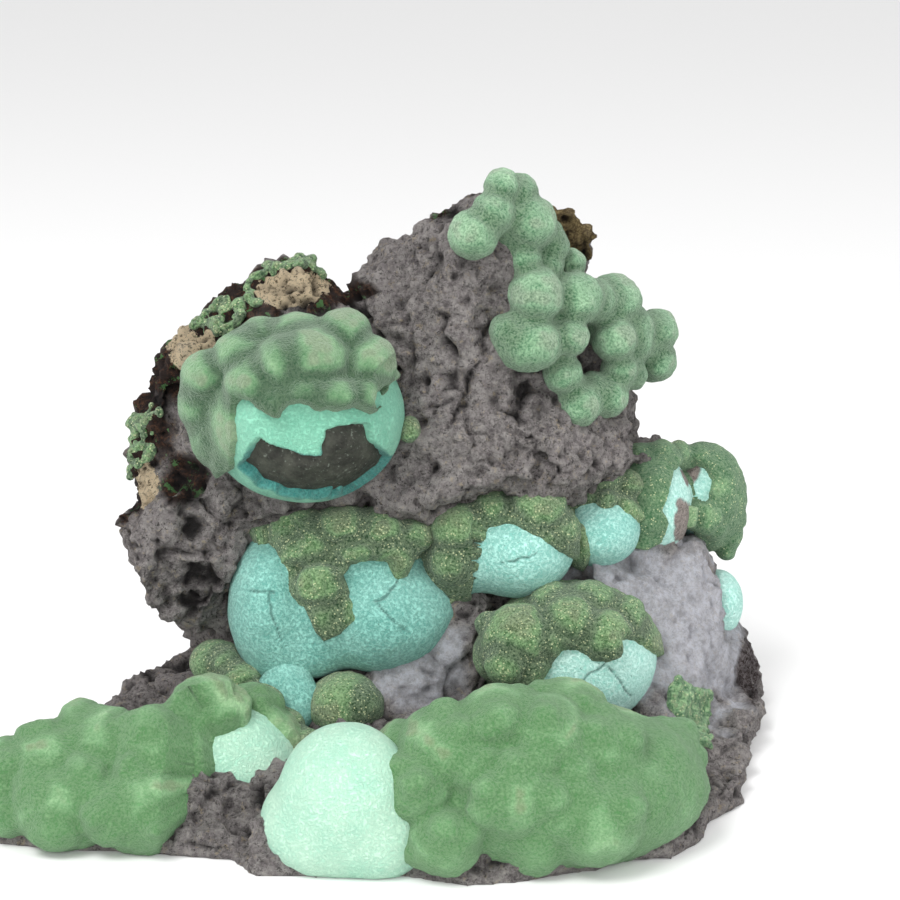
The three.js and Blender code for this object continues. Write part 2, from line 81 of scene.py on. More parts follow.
# The growths, in millimetres. dome and green hold lumps as [x, y, z, half width, half depth, half height], bare
# the outline inside which no malachite lies, and cracks the lines across the bare dome.
HOODED = {
    "dome": [[-18.1, 0, 58.5, 12.5, 12.8, 10.8]],
    "green": [
        [-29.6, -2.8, 64, 3.6, 4.6, 3.4], [-30.4, -1.8, 60.4, 3.4, 4.6, 4], [-29.2, -2.4, 56.6, 3.2, 4.2, 4.2],
        [-27.5, -4.6, 54, 2.2, 3, 3], [-23.8, -8, 64.2, 3.6, 4, 3.4], [-16.8, -7, 67.2, 4.8, 4.8, 3.8],
        [-12.9, -3, 69.8, 3.3, 4.6, 2.9], [-9.6, -5.6, 66.3, 3.3, 4.4, 3.5], [-20.4, -7.6, 66.6, 3.2, 4.4, 3.6],
        [-25.4, -3.6, 67, 3.8, 4.6, 3], [-23, -1.5, 68.6, 3.6, 4, 2.6], [-18.6, -2.5, 69.4, 3.6, 4.4, 2.6],
        [-20.8, -10.4, 62.6, 2.6, 2.4, 2], [-17.3, -10.7, 63.7, 3, 2.3, 1.9], [-13.8, -10.8, 63.5, 3, 2.4, 1.9],
        [-9.6, -9, 63.3, 3, 3, 2.1],
    ],
    "bare": [
        [-26.2, 58.8], [-24.9, 58.7], [-22.6, 56.7], [-20.8, 56], [-19.7, 57.8], [-18.1, 58.3], [-15.9, 57.2],
        [-13, 57.1], [-10.8, 57.7], [-9.2, 56.6], [-7.6, 57.7], [-7, 60.5], [-5.4, 62], [-2, 58.4],
        [-2, 42], [-30, 42], [-28.4, 49.3], [-26.7, 49.5], [-26.2, 53.6],
    ],
}
CORE_OUTLINE = [
    [-25, 50.9], [-23.3, 53.8], [-20.5, 52.5], [-18.1, 51.7], [-15.6, 51.6], [-14.9, 54.8], [-11.1, 55.7],
    [-9.7, 55.5], [-8.9, 52.9], [-7.7, 51.2], [-9.4, 49.5], [-12.7, 47.9], [-16.3, 47.4], [-19.9, 47.7],
    [-23.2, 49.1],
]
GROWTHS = {
    "heart_dome": {
        "dome": [
            [-22.8, 3, 32.8, 5.9, 8.8, 9.6], [-9, 3, 31.9, 10, 9.6, 7.7], [-13.5, 6.5, 38.4, 11, 9.5, 5.9],
            [-16.5, 3.5, 32.5, 6, 8, 6], [-17.6, 1.2, 28.4, 5, 6, 4.6], [-21.6, 0.4, 27, 3.6, 4.4, 3.2],
        ],
        "green": [
            [-18.2, -0.6, 42, 4, 3.6, 2.9], [-19.6, 1.4, 44, 3.6, 4.2, 2.6], [-13.6, 0.8, 44.2, 3.8, 4.4, 2.5],
            [-8.8, 1.2, 43.6, 3.6, 4.6, 2.6], [-4.8, 2, 42.6, 3, 4.4, 2.5], [-7, -1.2, 40.8, 3, 3.2, 2],
            [-11.8, -1.4, 41.2, 3, 3.2, 2.1], [-16.2, -4.2, 37.6, 3.2, 2.4, 2.8], [-15.6, -4.4, 33, 2.8, 1.9, 3],
            [-23.4, 1.5, 42, 2.4, 3.4, 2.3], [-13.2, -3.4, 38.4, 2, 1.8, 1.6], [-15, -3.8, 30.6, 1.8, 1.8, 1.8],
        ],
        "bare": [
            [-22.9, 42.5], [-21.3, 41.7], [-20.2, 40.1], [-20.1, 37.6], [-19.3, 34.8], [-18.2, 32.1], [-17, 29.5],
            [-15.9, 28], [-14.1, 29.2], [-12.3, 31.1], [-12.4, 32.9], [-13.3, 36.1], [-12.3, 38.3], [-9.8, 39.1],
            [-6.9, 38.8], [-5, 38], [-3.1, 38.8], [-1.1, 37.6], [0.6, 34.6], [2.5, 30.4], [2.5, 18], [-30, 18],
            [-32, 28.5], [-31, 36.7], [-27.5, 41], [-24.7, 42.2],
        ],
        "cracks": [
            [[-25.1, 34.8], [-23.4, 35.1], [-21.9, 34.7]], [[-22.6, 34.9], [-22.1, 31.5], [-20.9, 28.6]],
            [[-9.4, 33.6], [-7.6, 34.7], [-6.3, 36.7]], [[-9.4, 33.6], [-7.3, 31.4], [-5.6, 29.8]],
        ],
    },
    "middle_dome": {
        "dome": [[8.7, 6, 39.5, 7.5, 8, 6.4], [1, 7, 39.2, 5, 7.2, 7.2]],
        "green": [
            [11.1, 4, 45.4, 3.9, 5, 3.4], [0.8, 2, 43.5, 3.6, 4.2, 3.2], [5.3, 4.2, 45.4, 2.9, 4.2, 2.5],
            [0.2, 1, 39.2, 3, 3.2, 3.1], [14.2, 3.8, 42.2, 2.6, 4, 3.2], [-1.4, 5, 44.1, 2.6, 3.8, 2.5],
            [2.6, 1.2, 41.2, 1.8, 2.4, 1.8], [-1.6, 2.6, 36.8, 2, 2.6, 2.2],
        ],
        "bare": [
            [3.4, 43.3], [5.9, 44.1], [8.2, 43.7], [12, 41.6], [14.6, 39.6], [17.5, 37.6], [17.5, 28], [2.2, 28],
            [3.2, 34.8], [3, 40.4],
        ],
        "cracks": [[[6.3, 38], [8.4, 38.4], [10.7, 39.6]]],
    },
    "shelf_dome": {
        "dome": [[19.3, 11, 40.8, 5.7, 7, 5.2]],
        "green": [
            [20.1, 7.2, 45.1, 1.7, 1.9, 1.7], [16.4, 11, 46.2, 2.6, 3.4, 2], [19.6, 11.8, 47, 2.8, 3.4, 2],
            [23, 13, 46.2, 2.4, 3.4, 2], [15.4, 9, 43.6, 1.6, 2.4, 2.4],
        ],
        "bare": [
            [15, 46], [18, 46.5], [22.1, 46.1], [24.4, 44.1], [27.5, 41.5], [26, 30], [16.8, 30], [17.7, 38.3],
            [17, 42.6], [15.4, 44.3],
        ],
        "cracks": [],
    },
    "rear_dome": {
        "dome": [[27, 18, 42, 5.2, 7.4, 7], [34.6, 25, 41.2, 4.8, 5.4, 6.8]],
        "green": [
            [25.2, 18.4, 48.2, 2.2, 3.4, 2.2], [28, 18.6, 48.8, 2.4, 3.4, 2], [26.6, 14.2, 46, 2.2, 2.8, 2.2],
            [29.4, 17, 47.4, 1.7, 2.8, 2], [23.4, 15, 45.4, 2, 3, 2.1], [22.4, 14.6, 42.8, 2, 3, 2.4],
            [25.8, 12.2, 42, 2.5, 2.6, 2.7], [25, 12.6, 38.6, 2.5, 2.6, 2.6], [28, 13, 40.6, 1.4, 2, 1.9],
            [30.7, 22.6, 48.1, 1.7, 3.2, 1.6], [33.5, 23.8, 47.3, 1.9, 3.2, 1.8], [35.6, 24, 45.7, 2.1, 3.3, 2],
            [37.2, 24.4, 43.3, 2.1, 3.3, 2], [38, 24.8, 40.8, 2, 3.2, 2], [38.5, 25, 38.4, 1.8, 3.2, 1.9],
            [38.2, 25, 35.9, 1.7, 3, 1.8], [37.5, 25, 33.9, 1.5, 3, 1.6], [34, 19.6, 40, 2.4, 2.6, 2.6],
            [35.6, 20.6, 38.2, 1.6, 2.2, 1.7], [36.4, 21.6, 40.8, 1.9, 2.6, 2],
        ],
        "bare": [
            [29.8, 50.4], [31.7, 51.3], [33.8, 50.6], [35, 48.6], [34.6, 46], [33.4, 44.9], [32.4, 45],
            [32.2, 42.4], [32.6, 39.4], [31.8, 37.4], [30, 32], [22, 32], [22, 39], [25.5, 39], [27.7, 39.9],
            [28.8, 42.8], [27.8, 44.5], [29, 47.9],
        ],
        "cracks": [],
    },
    "low_dome": {
        "dome": [[15.7, 3, 25.7, 11.1, 10, 9.3]],
        "green": [
            [8.6, -4, 30.6, 4.9, 4.8, 4.6], [7, -7, 28.2, 2.8, 2.8, 2.7], [15, -3.4, 32.6, 3.7, 4, 3.5],
            [19.4, -4, 30.8, 3.6, 3.8, 3.6], [13.2, -5.6, 30.6, 2.4, 2.4, 2.3], [20.2, -6, 28, 2.2, 2.2, 1.7],
            [17.8, 0.6, 34.4, 3.4, 4, 2.3], [22.6, 0.2, 31.8, 2.4, 3.8, 3.1], [10.8, -6.6, 26.4, 2.8, 2.4, 2.6],
            [5.2, -2, 27.8, 2.4, 3.6, 3.4], [13, 0.4, 34.4, 2.8, 4, 2.2], [4.8, -2.6, 32, 1.8, 2.2, 1.8],
        ],
        "bare": [
            [10.9, 23.1], [13.8, 28.1], [15.8, 27.6], [18.8, 26], [21.7, 26.2], [22.4, 29.2], [24.1, 28.6],
            [27.5, 26], [30, 21.1], [28, 12], [8, 12],
        ],
        "cracks": [[[15.2, 22.1], [17.5, 24.2], [19.6, 25.7]], [[19.6, 25.7], [21.2, 23.6], [23, 20.9]]],
    },
}
FRONT_LEFT = {
    "dome": [[-26, -12, 16.4, 8.6, 9.4, 8.4]],
    "green": [
        [-29.3, -16, 25, 5.4, 6, 4.8], [-35, -20, 21.8, 6.6, 7, 5.4], [-41.6, -19, 21.6, 5.4, 6.4, 5],
        [-48, -20, 20.6, 5.6, 6.6, 4.6], [-53.6, -20.5, 18.2, 4.2, 6, 5.2], [-45.4, -25, 16.6, 7.2, 6, 5.4],
        [-36.4, -26.4, 16.6, 6.4, 5.6, 5.6], [-24.4, -9.5, 24.2, 3.6, 4, 2.2], [-31.8, -24.4, 21.4, 3.4, 3.4, 3],
        [-37.4, -25.4, 21.2, 2.8, 3, 2.4], [-43.4, -25, 20.6, 3.2, 3.4, 2.7], [-48.8, -26, 18.8, 2.8, 3, 2.6],
        [-40.4, -30, 16.8, 3, 2.4, 2.8], [-46.4, -29.4, 15.2, 3, 2.4, 2.6], [-52.4, -25.4, 15.6, 2.8, 2.8, 3],
        [-34.2, -30.4, 16, 2.6, 2.2, 2.6], [-27.4, -20.8, 24.6, 2.6, 2.6, 2.3], [-44.8, -16.6, 24.8, 2.8, 4, 1.9],
    ],
    "bare": [
        [-30.6, 21.5], [-28.4, 21.8], [-25.4, 21.9], [-22, 20.4], [-19.3, 17.6], [-17.4, 15.4], [-15, 2],
        [-31.7, 2], [-30.9, 16.1],
    ],
}
FRONT_MIDDLE = [
    [-12, -32, 21.2, 8, 8, 8.2], [-14.6, -30.6, 16.6, 8, 7.6, 6.4], [-8.6, -32, 16.4, 7, 6.6, 6.2],
]
FRONT_RIGHT = [
    [10, -24, 19, 21, 14.5, 10], [0, -29.5, 25.4, 6.4, 7, 5.4], [5.8, -28.5, 28, 5.4, 6, 4.8],
    [11.2, -30, 26.6, 5.4, 6, 5.6], [17.6, -28.5, 24, 5.8, 6.4, 5.8], [23.8, -25.5, 20.6, 5.8, 6.6, 6],
    [-3.8, -33, 22.2, 4.8, 5.4, 4.6], [7.6, -34, 21.4, 6.4, 6, 5.4], [16.6, -34.5, 18.6, 6, 5.4, 5.6],
    [-0.5, -36, 16.8, 4.6, 4.4, 4.4], [25.6, -20, 21, 4.6, 6, 4.6], [-5, -27, 24, 4.4, 5, 4],
    [13.6, -24, 28, 5.4, 6, 4], [10, -36, 16.6, 4, 3, 4.2], [2.8, -33, 24.4, 3.6, 4.4, 3.6],
    [14.4, -33, 24, 3, 4, 3], [21.8, -31, 19, 4, 4.4, 4.4],
]
CREST = [
    [6.5, 5.5, 86.4, 2.3, 3.4, 2.3], [8.8, 8, 85.2, 2.4, 3.6, 2.4], [5.3, 3.4, 83.3, 2.8, 3.8, 2.8],
    [2.9, 2, 80.9, 3.2, 4.2, 3.2], [9.9, 6.6, 81.7, 3.5, 4.8, 3.5], [11.9, 9.4, 79.6, 2.5, 3.6, 2.5],
    [9.2, 5.4, 77.2, 2.3, 3.2, 2.5], [15.4, 13, 75.4, 2.1, 3.2, 2.1], [10.7, 4, 73, 3.6, 4.8, 3.6],
    [15.9, 8, 71.8, 3.5, 4.8, 3.5], [18.4, 11, 70.8, 3, 4.2, 3], [21.2, 14.5, 70.2, 3.6, 5, 3.6],
    [23.9, 15.5, 65.6, 2.8, 5, 3.9], [21, 11, 66, 3.1, 4.6, 3.1], [27.2, 19, 65.4, 2.8, 5, 2.8],
    [27, 19, 61.4, 2.9, 5, 2.9], [9.8, 3, 67.1, 4.4, 4.8, 3.8], [15, 5, 67.4, 2.6, 3.8, 2.6],
    [14.2, 5.6, 62.6, 2.7, 4, 2.7], [16.4, 6, 58.6, 3, 4.2, 3], [20.2, 9.2, 58.8, 2.8, 4.2, 2.8],
    [21.8, 11.2, 62, 2.5, 4, 2.5], [13.2, 9, 78.2, 2, 3, 2], [12.6, 8, 76.2, 1.9, 3, 1.9],
    [23.6, 12.6, 61, 1.9, 3, 2.2], [7.4, 3, 68.4, 2.6, 3.6, 2.6], [8, 7.2, 81.6, 3.4, 4, 4.4],
    [13.6, 9, 71.4, 5, 4.2, 3], [20, 14.4, 67.6, 4.6, 4.2, 4], [12.4, 7, 68.6, 3, 3.4, 3],
    [25.4, 18, 64.4, 2.6, 4.4, 3.4], [18.4, 8.6, 60, 2.2, 3.4, 2.2], [15.4, 6.6, 60.6, 2, 3, 2.4],
]
SMALL = {
    "side_knob_malachite": [[-5, 0, 56.6, 1.5, 2.4, 1.8]],
    "foot_malachite_left": [
        [-30, 2.5, 25.4, 3.6, 4, 2.8], [-26.4, -2.5, 25, 2.6, 3.2, 2], [-23.4, -6.5, 23.4, 2.8, 3.2, 1.9],
        [-20.6, -9.5, 21.2, 2.6, 3, 1.9], [-18, -12.5, 19.4, 2.6, 3.4, 2.2], [-28.4, -0.6, 26.2, 1.9, 2.6, 1.6],
    ],
    "foot_malachite_right": [[-13.2, -4.8, 22, 4.9, 5, 4.2], [-10.6, -6.6, 22.6, 2.2, 2.6, 2.2]],
}
END_DOME = [[36.4, 20.8, 27.6, 3.4, 5, 4.8]]
FOOT_PATCH = [
    [-20.4, -3.6, 25.2, 2.8, 2.4, 2.6], [-18.8, -5.2, 22.8, 2.5, 2.2, 2.6], [-22.4, -4, 24, 2, 2, 1.6],
    [-19.2, -5.8, 20.6, 1.6, 1.8, 1.8],
]

# Where thin crusts lie on the rock: lumps that bound them, and the outline of the star on the right slope.
RIM_CRUSTS = {
    "rim_malachite_top": [[-22.5, 8, 73.6, 3.2, 4, 2.4], [-18.5, 9, 74.4, 3.2, 4, 2.4]],
    "rim_malachite_side": [[-29, 5, 70.6, 2.8, 4, 2.4], [-32.6, 5.5, 67.4, 2.8, 4, 2.6]],
    "rim_malachite_foot": [[-39.4, 4, 56.6, 2.4, 4, 2.8], [-40.4, 3, 52, 2.4, 4, 3]],
}
STAR_OUTLINE = [
    [29.5, 24.1], [30.4, 22.5], [32.6, 21.8], [34.4, 21.2], [33.9, 18.5], [33.5, 14.8], [32.6, 14.2],
    [31.3, 15.2], [29.1, 17.7], [27.3, 19.5], [27.5, 21.9],
]

# Worn patches of the rear dome, as [across, up, half width, half height].
WORN = [[31.9, 49.6, 1.5, 1.9], [30.4, 43, 1.3, 3.2]]

# Stains of the rock's front, as [across, up, half width, half height], and its deep cracks.
STAINS = {
    "cream": [[-31.9, 64.8, 3.4, 3], [-20, 72.5, 4.6, 2], [-38.6, 48, 1.8, 3.2]],
    "rust": [
        [-40.6, 49, 3.4, 6], [-39, 56, 5, 6.5], [-36, 62.5, 5, 5], [-32.6, 66.6, 5.4, 4.6], [-27, 71, 6, 4],
        [-21.5, 73.6, 6, 3.4], [-15.5, 73, 4.4, 3.6], [-33.6, 49, 3, 3.4], [-11.6, 72.6, 2.4, 1.3],
        [-3, 82.6, 3.6, 0.9], [2.4, 86.2, 3.6, 1.2],
    ],
    "ochre": [[15.9, 80, 4.6, 6]],
    "lilac": [[31, 29, 11, 13], [-2.6, 25.2, 6.5, 5.5], [22, 37, 7, 4]],
    "brown": [[40.4, 23.3, 2.4, 4.8]],
}
ROCK_CRACKS = [
    [[-13.2, 72.6], [-10.5, 68.4], [-6.3, 63.8]], [[5, 67.5], [3.4, 62.5], [0, 54.9]],
    [[-10, 60], [-4.5, 57], [2.5, 60]], [[-2, 70], [0.5, 64]], [[10, 61], [8, 55], [12, 52.5]],
]


def paint(red, green, blue):
    """A colour as seen on a screen, from 0 to 255, as the linear colour that shaders use."""
    def linear(part):
        part /= 255
        return part / 12.92 if part <= 0.04045 else ((part + 0.055) / 1.055) ** 2.4
    return linear(red), linear(green), linear(blue)


# Numbers over a surface.


def ease(values, low, high):
    """0 below low, 1 above high and smooth between."""
    share = np.clip((values - low) / (high - low), 0, 1)
    return share * share * (3 - 2 * share)


def lattice(cells, seed):
    """A repeatable number from 0 to 1 for every whole-number cell."""
    number = cells[:, 0] * 374761393 + cells[:, 1] * 668265263 + cells[:, 2] * 2147483647 + seed * 974634777
    number = (number ^ (number >> 13)) * 1274126177
    number = number ^ (number >> 16)
    return (number & 0xFFFFFF) / 0xFFFFFF


def swells(points, size, seed):
    """Smooth noise from -1 to 1 with features of a given size."""
    place = points / size
    cell = np.floor(place).astype(np.int64)
    share = place - cell
    share = share * share * (3 - 2 * share)
    total = np.zeros(len(points))
    for corner in itertools.product((0, 1), repeat=3):
        weight = np.prod(np.where(corner, share, 1 - share), axis=1)
        total += weight * lattice(cell + np.array(corner), seed)
    return 2 * total - 1


def wander(points, size, seed):
    """Smooth noise in two directions, which lets an outline wander."""
    return np.stack([swells(points, size, seed), swells(points, size, seed + 1)], axis=1)


def grains(points, size, seed):
    """Distance to the nearest and to the next of scattered seats, as shares of their spacing."""
    place = points / size
    cell = np.floor(place).astype(np.int64)
    first = np.full(len(points), FAR)
    second = np.full(len(points), FAR)
    for corner in itertools.product((-1, 0, 1), repeat=3):
        near = cell + np.array(corner)
        seat = near + np.stack([lattice(near, seed + k) for k in range(3)], axis=1)
        gap = np.linalg.norm(place - seat, axis=1)
        second = np.minimum(second, np.maximum(first, gap))
        first = np.minimum(first, gap)
    return first, second


def on_display(points):
    """Points as [across, up], square to the line of sight."""
    return np.stack([points[:, 0], points[:, 2] * math.cos(TILT) + points[:, 1] * math.sin(TILT)], axis=1)


def line_gap(flat, line, closed=False):
    """Distance of flat points from a line of corners."""
    corners = np.array(line, float)
    ends = np.roll(corners, -1, axis=0) if closed else corners[1:]
    gap = np.full(len(flat), 1e9)
    for start, end in zip(corners, ends):
        along = end - start
        share = np.clip(((flat - start) @ along) / (along @ along), 0, 1)
        gap = np.minimum(gap, np.linalg.norm(flat - start - share[:, None] * along, axis=1))
    return gap


def depth_inside(flat, outline):
    """Distance of flat points from an outline, above 0 inside it."""
    corners = np.array(outline, float)
    inside = np.zeros(len(flat), bool)
    for start, end in zip(corners, np.roll(corners, -1, axis=0)):
        spans = (start[1] > flat[:, 1]) != (end[1] > flat[:, 1])
        rise = end[1] - start[1] if end[1] != start[1] else 1e-9
        inside ^= spans & (flat[:, 0] < start[0] + (flat[:, 1] - start[1]) * (end[0] - start[0]) / rise)
    gap = line_gap(flat, outline, closed=True)
    return np.where(inside, gap, -gap)


def lump_gaps(points, rows):
    """Distance of every point from every lump's surface, one column a lump."""
    table = np.array(rows, float)
    size = table[:, 3:]
    place = (points[:, None, :] - table[None, :, :3]) / size[None]
    far = np.linalg.norm(place, axis=2)
    slope = np.linalg.norm(place / size[None], axis=2)
    return far * (far - 1) / np.maximum(slope, 1e-9)


def slopes(height, points, here):
    """How fast a function of points rises along each axis."""
    steps = np.eye(3) * NEAR_STEP
    return np.stack([(height(points + step) - here) / NEAR_STEP for step in steps], axis=1)


def melted(points, rows, soft):
    """Points drawn onto one soft skin over all lumps, whose creases are filled over about the distance soft."""
    def height(at):
        gaps = lump_gaps(at, rows)
        least = gaps.min(axis=1)
        return least - soft * np.log(np.exp((least[:, None] - gaps) / soft).sum(axis=1))
    for _ in range(3):
        here = height(points)
        slope = slopes(height, points, here)
        steep = np.maximum((slope * slope).sum(axis=1), 0.3)
        points = points - slope * (here / steep)[:, None]
    return points


def off_lumps(points, rows):
    """Distance from the nearest lump, and the direction straight away from it."""
    def height(at):
        return lump_gaps(at, rows).min(axis=1)
    gap = height(points)
    away = slopes(height, points, gap)
    return gap, away / np.maximum(np.linalg.norm(away, axis=1), 1e-9)[:, None]


# Meshes.


def corners_of(mesh):
    """A mesh's points in the tables' millimetres, and its outward directions."""
    points = np.empty(len(mesh.vertices) * 3, np.float32)
    mesh.vertices.foreach_get("co", points)
    normals = np.empty(len(mesh.vertices) * 3, np.float32)
    mesh.vertex_normals.foreach_get("vector", normals)
    points = points.reshape(-1, 3).astype(float) / MM + np.array([0, 0, FOOT])
    return points, normals.reshape(-1, 3).astype(float)


def move_corners(mesh, points, lowest=0.05):
    """Puts a mesh's points where the tables' millimetres say, flat at the lowest height above the floor."""
    place = points - np.array([0, 0, FOOT])
    place[:, 2] = np.maximum(place[:, 2], lowest)
    mesh.vertices.foreach_set("co", (place * MM).astype(np.float32).ravel())
    mesh.update()


def note(mesh, name, values=0):
    """Keeps a number for every point of a mesh, for its material."""
    layer = mesh.attributes.get(name) or mesh.attributes.new(name, "FLOAT", "POINT")
    shares = np.broadcast_to(np.clip(values, 0, 1), len(mesh.vertices))
    layer.data.foreach_set("value", shares.astype(np.float32))


def new_object(name, made):
    """An object from a finished bmesh."""
    mesh = bpy.data.meshes.new(name)
    made.to_mesh(mesh)
    made.free()
    piece = bpy.data.objects.new(name, mesh)
    bpy.context.scene.collection.objects.link(piece)
    return piece


def lumps(rows, detail=4):
    """A bmesh of overlapping round lumps."""
    made = bmesh.new()
    for x, y, z, wide, deep, high in rows:
        size = Matrix.Diagonal((wide * MM, deep * MM, high * MM, 1))
        place = Matrix.Translation((x * MM, y * MM, (z - FOOT) * MM)) @ size
        bmesh.ops.create_icosphere(made, subdivisions=detail, radius=1, matrix=place)
    return made


def settled(piece):
    """The piece with its modifiers worked into its mesh."""
    bpy.context.view_layer.update()
    graph = bpy.context.evaluated_depsgraph_get()
    mesh = bpy.data.meshes.new_from_object(piece.evaluated_get(graph))
    old = piece.data
    piece.modifiers.clear()
    piece.data = mesh
    bpy.data.meshes.remove(old)
    return piece


def remeshed(piece, cell, rounds):
    """One even skin over all of a piece's lumps, with its creases eased."""
    skin = piece.modifiers.new("skin", "REMESH")
    skin.mode = "VOXEL"
    skin.voxel_size = cell
    skin.use_smooth_shade = True
    if rounds:
        soft = piece.modifiers.new("soften", "SMOOTH")
        soft.factor = 0.5
        soft.iterations = rounds
    return settled(piece)


def dressed(piece, node, finish):
    """Gives a piece its material, and puts it in its node's place."""
    piece.data.materials.clear()
    piece.data.materials.append(finish)
    for face in piece.data.polygons:
        face.use_smooth = True
    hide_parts(node)
    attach(piece, "root")
    return piece


# Materials.


class Shade:
    """A shader value that takes Python's own operators."""

    def __init__(self, finish, socket):
        self.finish = finish
        self.socket = socket

    def __add__(self, other):
        return self.finish.maths("ADD", self, other)

    def __sub__(self, other):
        return self.finish.maths("SUBTRACT", self, other)

    def __mul__(self, other):
        return self.finish.maths("MULTIPLY", self, other)

    def __rsub__(self, other):
        return self.finish.maths("SUBTRACT", other, self)

    __radd__ = __add__
    __rmul__ = __mul__


class Finish:
    """A material under construction."""

    def __init__(self, name, roughness, sheen=0.0):
        self.material = bpy.data.materials.new(name)
        self.material.use_nodes = True
        self.tree = self.material.node_tree
        self.tree.nodes.clear()
        self.surface = self.tree.nodes.new("ShaderNodeBsdfPrincipled")
        for key, value in {
            "Roughness": roughness, "Sheen Weight": sheen, "Sheen Roughness": 0.5, "Specular IOR Level": 0.25,
        }.items():
            self.surface.inputs[key].default_value = value
        ending = self.tree.nodes.new("ShaderNodeOutputMaterial")
        self.tree.links.new(self.surface.outputs[0], ending.inputs["Surface"])
        self.place = self.node("ShaderNodeTexCoord", output="Object")

    def node(self, kind, settings=None, sockets=None, output=0):
        """One node: its settings first, then the values or links of its sockets."""
        made = self.tree.nodes.new(kind)
        for key, value in (settings or {}).items():
            setattr(made, key, value)
        for key, value in (sockets or {}).items():
            if isinstance(value, Shade):
                self.tree.links.new(value.socket, made.inputs[key])
            else:
                made.inputs[key].default_value = value
        return Shade(self, made.outputs[output])

    def maths(self, operation, first, second):
        return self.node("ShaderNodeMath", {"operation": operation}, {0: first, 1: second})

    def noise(self, size, detail=3, roughness=0.6):
        """Noise with features of a size in metres, about 0.5 on average."""
        sockets = {"Vector": self.place, "Scale": 1 / size, "Detail": detail, "Roughness": roughness}
        return self.node("ShaderNodeTexNoise", None, sockets)

    def cells(self, size, feature="F1", output="Distance"):
        sockets = {"Vector": self.place, "Scale": 1 / size}
        return self.node("ShaderNodeTexVoronoi", {"feature": feature}, sockets, output)

    def tones(self, size, channel="Red"):
        """A number from 0 to 1 for every grain of a size in metres."""
        return self.node("ShaderNodeSeparateColor", None, {0: self.cells(size, output="Color")}, channel)

    def noted(self, name):
        """A number that the mesh holds for each point."""
        return self.node("ShaderNodeAttribute", {"attribute_name": name}, None, "Fac")

    def ramp(self, value, low, high):
        """0 where the value is low, 1 where it is high."""
        settings = {"interpolation_type": "SMOOTHSTEP"}
        return self.node("ShaderNodeMapRange", settings, {0: value, 1: low, 2: high, 3: 0.0, 4: 1.0})

    def patches(self, low, high, *noise):
        """Patches of noise: 0 where it is under low and 1 where it is over high."""
        return self.ramp(self.noise(*noise), low, high)

    def mix(self, share, first, second):
        """One colour over another."""
        def full(colour):
            return colour if isinstance(colour, Shade) else (*colour, 1)
        sockets = {0: share, 6: full(first), 7: full(second)}
        return self.node("ShaderNodeMix", {"data_type": "RGBA"}, sockets, 2)

    def finished(self, colour, height, depth, roughness=None):
        """Joins up the colour and the relief, whose height runs from 0 to 1 over a depth in metres."""
        self.tree.links.new(colour.socket, self.surface.inputs["Base Color"])
        if roughness:
            self.tree.links.new(roughness.socket, self.surface.inputs["Roughness"])
        sockets = {"Strength": 1.0, "Distance": depth, "Height": height}
        relief = self.node("ShaderNodeBump", None, sockets, "Normal")
        self.tree.links.new(relief.socket, self.surface.inputs["Normal"])
        return self.material


def rock_finish(colours):
    """Grey-purple crumbling rock with stains, painted shade in its hollows and a painted highlight on its ridges.
    """
    made = Finish("Grey rock", 0.95)
    blotch = made.patches(0.35, 0.65, 0.006, 4, 0.7)
    speck = made.patches(0.4, 0.64, 0.0005, 5, 0.8)
    grit = made.patches(0.36, 0.66, 0.0011, 6, 0.85)
    ragged = made.patches(0.42, 0.56, 0.0016, 4, 0.7)
    colour = made.mix(blotch, colours.rock_dark, colours.rock)
    colour = made.mix(grit * 0.65 + speck * 0.25, colour, colours.rock_light)
    colour = made.mix(made.patches(0.57, 0.64, 0.001, 5, 0.8) * 0.55, colour, colours.rock_tan)
    # Scattered near-black dots: painted shade of small pits.
    colour = made.mix(made.patches(0.47, 0.38, 0.0006, 5, 0.85) * 0.75, colour, colours.pit_shade_and_dark_rust)
    pale = made.mix(speck * 0.5, colours.rock_lilac, made.mix(0.5, colours.rock_lilac, colours.rock_light))
    colour = made.mix(made.noted("lilac") * (0.5 + 0.5 * grit), colour, pale)
    colour = made.mix(made.noted("brown"), colour, made.mix(speck, colours.rust, colours.rock))
    # In the rusty rim the near-black is the rim's own dark colour, flecked with rust.
    rusty = made.mix(ragged, colours.rust, made.mix(speck, colours.pit_shade_and_dark_rust, colours.rust_light))
    rusty = made.mix(made.patches(0.58, 0.62, 0.0021, 4, 0.7), rusty, colours.green)
    colour = made.mix(made.noted("rust"), colour, rusty)
    tawny = made.mix(speck, colours.ochre_dark, colours.ochre)
    colour = made.mix(made.noted("ochre"), colour, tawny)
    chalk = made.mix(made.patches(0.36, 0.5, 0.0005, 4, 0.8), colours.ochre_dark, colours.cream)
    colour = made.mix(made.ramp(made.noted("cream") + ragged * 0.5, 0.6, 0.8), colour, chalk)
    # Painted highlight: the raised parts of the rock lightened.
    colour = made.mix(made.noted("painted_ridge_highlight") * 0.35, colour, made.mix(0.5, colour, colours.rock_light))
    # Painted shade: the sunken parts of the rock darkened nearly to black.
    colour = made.mix(made.noted("painted_hollow_shade") * 0.95, colour, colours.pit_shade_and_dark_rust)
    height = made.noise(0.0011, 8, 0.88) + made.noise(0.0004, 4, 0.8) * 0.3
    return made.finished(colour, height, 0.0022)


